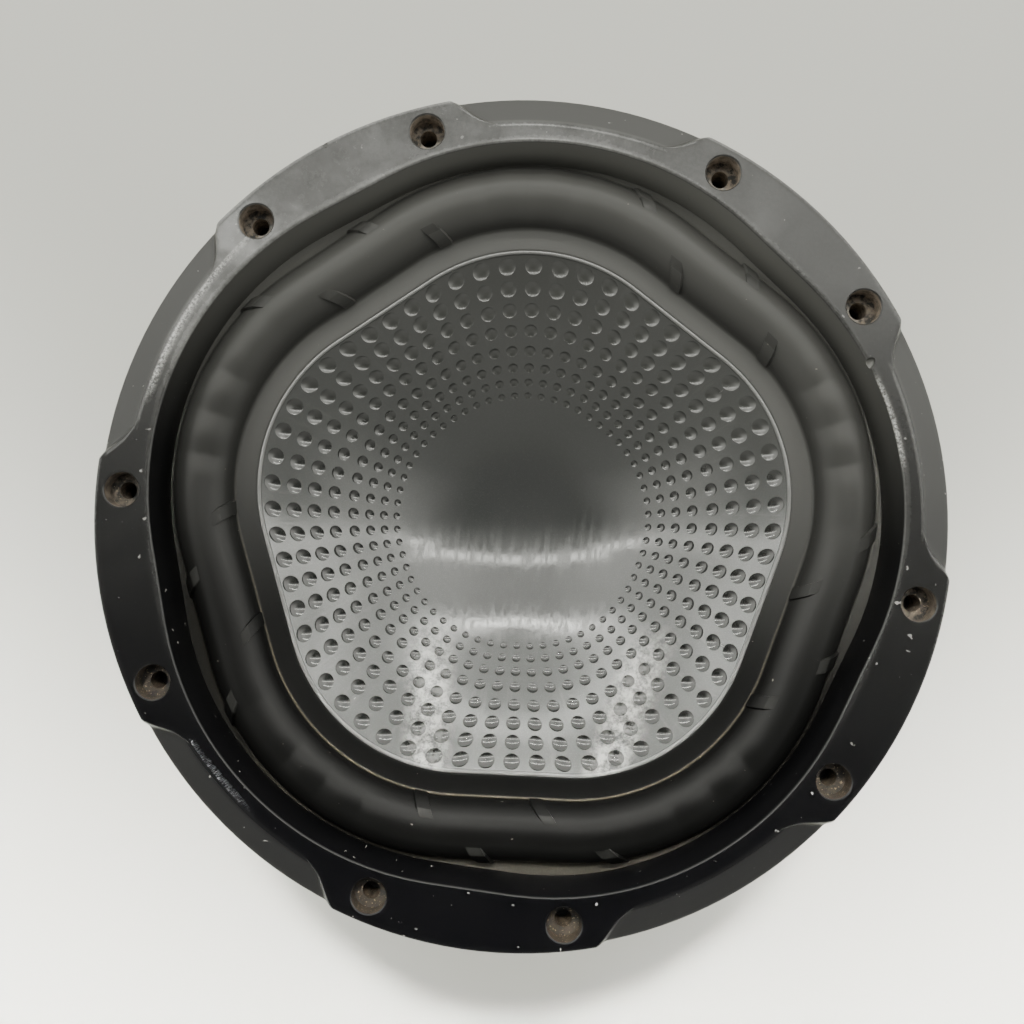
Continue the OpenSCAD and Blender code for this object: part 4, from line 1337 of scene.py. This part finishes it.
def button_spring(node, side):
    """A wire circle wound five times, then laid along the button's axis."""
    deselect()
    start = {"location": (COIL_R * MM, 0, 0), "rotation": (pi / 2, 0, 0)}
    bpy.ops.mesh.primitive_circle_add(vertices=8, radius=WIRE_R * MM, **start)
    coil = adopt("wire_" + node)
    bpy.ops.object.transform_apply(location=True, rotation=True)
    rise = (SPRING_TO - SPRING_FROM) / COILS * MM
    apply_modifier(coil, "SCREW", iterations=COILS, screw_offset=rise, steps=20, render_steps=20)
    open_mesh()
    bpy.ops.mesh.fill_holes(sides=8)
    bpy.ops.mesh.normals_make_consistent(inside=False)
    close_mesh()
    points = points_of(coil)
    laid = np.stack([points[:, 0], points[:, 2], -points[:, 1]], axis=1)
    move_points(coil, laid + np.array((side * BUTTON_X, SPRING_FROM, BUTTON_Z)) * MM)
    smooth(coil, 60)
    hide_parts(node)
    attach(coil, "frame")
    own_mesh(coil)
    return coil


springs = [
    button_spring("button_spring_red", 1),
    button_spring("button_spring_black", -1),
]

# %% [markdown]
# ## Finishes of the rear
# Most rear parts share one plan: two close tones drifted together by noise, a second noise for wear
# or dust, and a fine grain in the bump. One function makes that plan, and a table gives each part its
# own numbers. Cloth, windings and turned steel follow lines, so their finishes are written out.

# %% Painted, moulded and cast finishes


def worked_finish(name, low, high, rough, metal=0.0, cloud=60, grain=1600, relief=0.12, worn=None):
    """Two tones, a fine grain, and patches of a third tone for wear or dust."""
    finish, shader, place = new_finish(name)
    drift = place.noise(cloud, 4.0, 0.6)
    fine = place.noise(grain, 3.0, 0.6)
    patch = place.noise(cloud * 5, 5.0, 0.7).between(0.58, 0.74)
    base = drift.blend(low, high)
    if worn:
        base = (patch * 0.5).blend(base, worn)
    feed(shader, base_color=base, roughness=rough + drift * 0.14 + patch * 0.12, metallic=metal)
    feed(shader, normal=(fine + drift * 0.5).bump(relief, 0.0004))
    return finish


# %% The table of rear finishes
solids = frame["nodes"]
REAR = [
    ([basket], "basket_paint", (0.009, 0.009, 0.0095), (0.015, 0.015, 0.016), 0.34,
     {"grain": 900, "worn": (0.06, 0.058, 0.054)}),
    ([vent_mesh], "vent_paint", (0.012, 0.012, 0.013), (0.022, 0.022, 0.023), 0.42, {}),
    ([boot], "boot_rubber_dusty", (0.010, 0.010, 0.010), (0.018, 0.018, 0.0175), 0.55,
     {"grain": 2200, "relief": 0.2, "worn": (0.06, 0.057, 0.05)}),
    ([gasket], "closed_cell_foam", (0.008, 0.008, 0.008), (0.020, 0.020, 0.020), 0.8,
     {"grain": 2600, "relief": 0.5}),
    ([block], "block_nylon", (0.011, 0.011, 0.012), (0.018, 0.018, 0.019), 0.38,
     {"grain": 2400, "worn": (0.05, 0.05, 0.048)}),
    ([red_button], "button_red_plastic", (0.33, 0.012, 0.010), (0.42, 0.020, 0.016), 0.26,
     {"cloud": 180}),
    ([black_button], "button_black_plastic", (0.012, 0.012, 0.013), (0.02, 0.02, 0.021), 0.26,
     {"cloud": 180}),
    ([red_contact, black_contact, solids["lead_tabs"]], "contact_brass", (0.62, 0.44, 0.17),
     (0.72, 0.53, 0.24), 0.24, {"metal": 1.0, "cloud": 220, "worn": (0.36, 0.24, 0.10)}),
    ([rivets], "rivet_zinc", (0.50, 0.50, 0.48), (0.62, 0.61, 0.58), 0.30,
     {"metal": 1.0, "cloud": 200, "worn": (0.34, 0.32, 0.29)}),
    (springs, "spring_wire", (0.46, 0.46, 0.46), (0.60, 0.60, 0.60), 0.22, {"metal": 1.0, "cloud": 400}),
    ([solids["magnet"]], "sintered_ferrite", (0.030, 0.030, 0.031), (0.050, 0.050, 0.051), 0.55,
     {"grain": 1200, "relief": 0.3, "worn": (0.09, 0.088, 0.085)}),
    ([solids["neck_collar"]], "collar_nylon", (0.014, 0.014, 0.015), (0.022, 0.022, 0.023), 0.4, {}),
]
for pieces, name, low, high, rough, more in REAR:
    finish = worked_finish(name, low, high, rough, **more)
    for piece in pieces:
        dress(piece, finish)

# %% Pressed cloth
finish, shader, place = new_finish("pressed_cotton")
x, y = axes(place)[:2]
THREAD = 2 * pi / 0.9
over = (x * (THREAD / 2)).math("SINE") * (y * (THREAD / 2)).math("SINE")
weave = over.between(-0.25, 0.25)
thread = weave * (x * THREAD).ripple() + (1 - weave) * (y * THREAD).ripple()
resin = place.noise(60, 4.0, 0.6)
base = resin.blend((0.36, 0.21, 0.055), (0.48, 0.30, 0.09))
base = (thread * 0.55).blend((0.17, 0.095, 0.025), base)
feed(shader, base_color=base, roughness=0.72 + resin * 0.15, normal=thread.bump(0.6, 0.0005))
dress(spider, finish)

# %% Copper of the leads and the winding
finish, shader, place = new_finish("tinsel_copper")
along = place.noted("along") * 420
about = place.noted("round") * 18.85
braid = (along + about).ripple() * (along - about).ripple()
dull = place.noise(300, 4.0, 0.6)
base = dull.blend((0.42, 0.20, 0.085), (0.68, 0.36, 0.17))
base = braid.blend((0.20, 0.09, 0.04), base)
feed(shader, base_color=base, roughness=0.34 + dull * 0.2, metallic=0.9)
feed(shader, normal=braid.bump(0.5, 0.0003))
for lead in leads:
    dress(lead, finish)

finish, shader, place = new_finish("wound_copper")
turns = (axes(place)[2] * (2 * pi / 0.6)).ripple()
varnish = place.noise(160, 3.0)
base = varnish.blend((0.45, 0.17, 0.06), (0.60, 0.25, 0.09))
base = turns.blend((0.16, 0.06, 0.02), base)
feed(shader, base_color=base, roughness=0.28 + varnish * 0.12, metallic=0.85)
feed(shader, normal=turns.bump(0.7, 0.0003))
dress(solids["voice_coil"], finish)

# %% Rolled aluminium and turned steel
finish, shader, place = new_finish("rolled_aluminium")
brushed = place.noise(500, 4.0, 0.6, (1, 1, 0.06))
base = brushed.blend((0.52, 0.53, 0.54), (0.70, 0.71, 0.72))
feed(shader, base_color=base, roughness=0.30 + brushed * 0.15, metallic=1.0)
feed(shader, normal=brushed.bump(0.1, 0.0003))
dress(solids["coil_former"], finish)

finish, shader, place = new_finish("turned_steel")
x, y, z = axes(place)
lines = chart(length(x, y) * 1.5, z * 1.5).noise(1.0, 3.0, 0.6)
tarnish = place.noise(45, 5.0, 0.65)
base = lines.blend((0.38, 0.38, 0.375), (0.56, 0.56, 0.55))
base = (tarnish.between(0.56, 0.78) * 0.6).blend(base, (0.26, 0.23, 0.19))
feed(shader, base_color=base, roughness=0.30 + lines * 0.12 + tarnish * 0.16, metallic=1.0)
feed(shader, normal=lines.bump(0.12, 0.0003))
dress(front_plate, finish)
dress(solids["yoke"], finish)
print("finishes in all:", len(bpy.data.materials))

# %% [markdown]
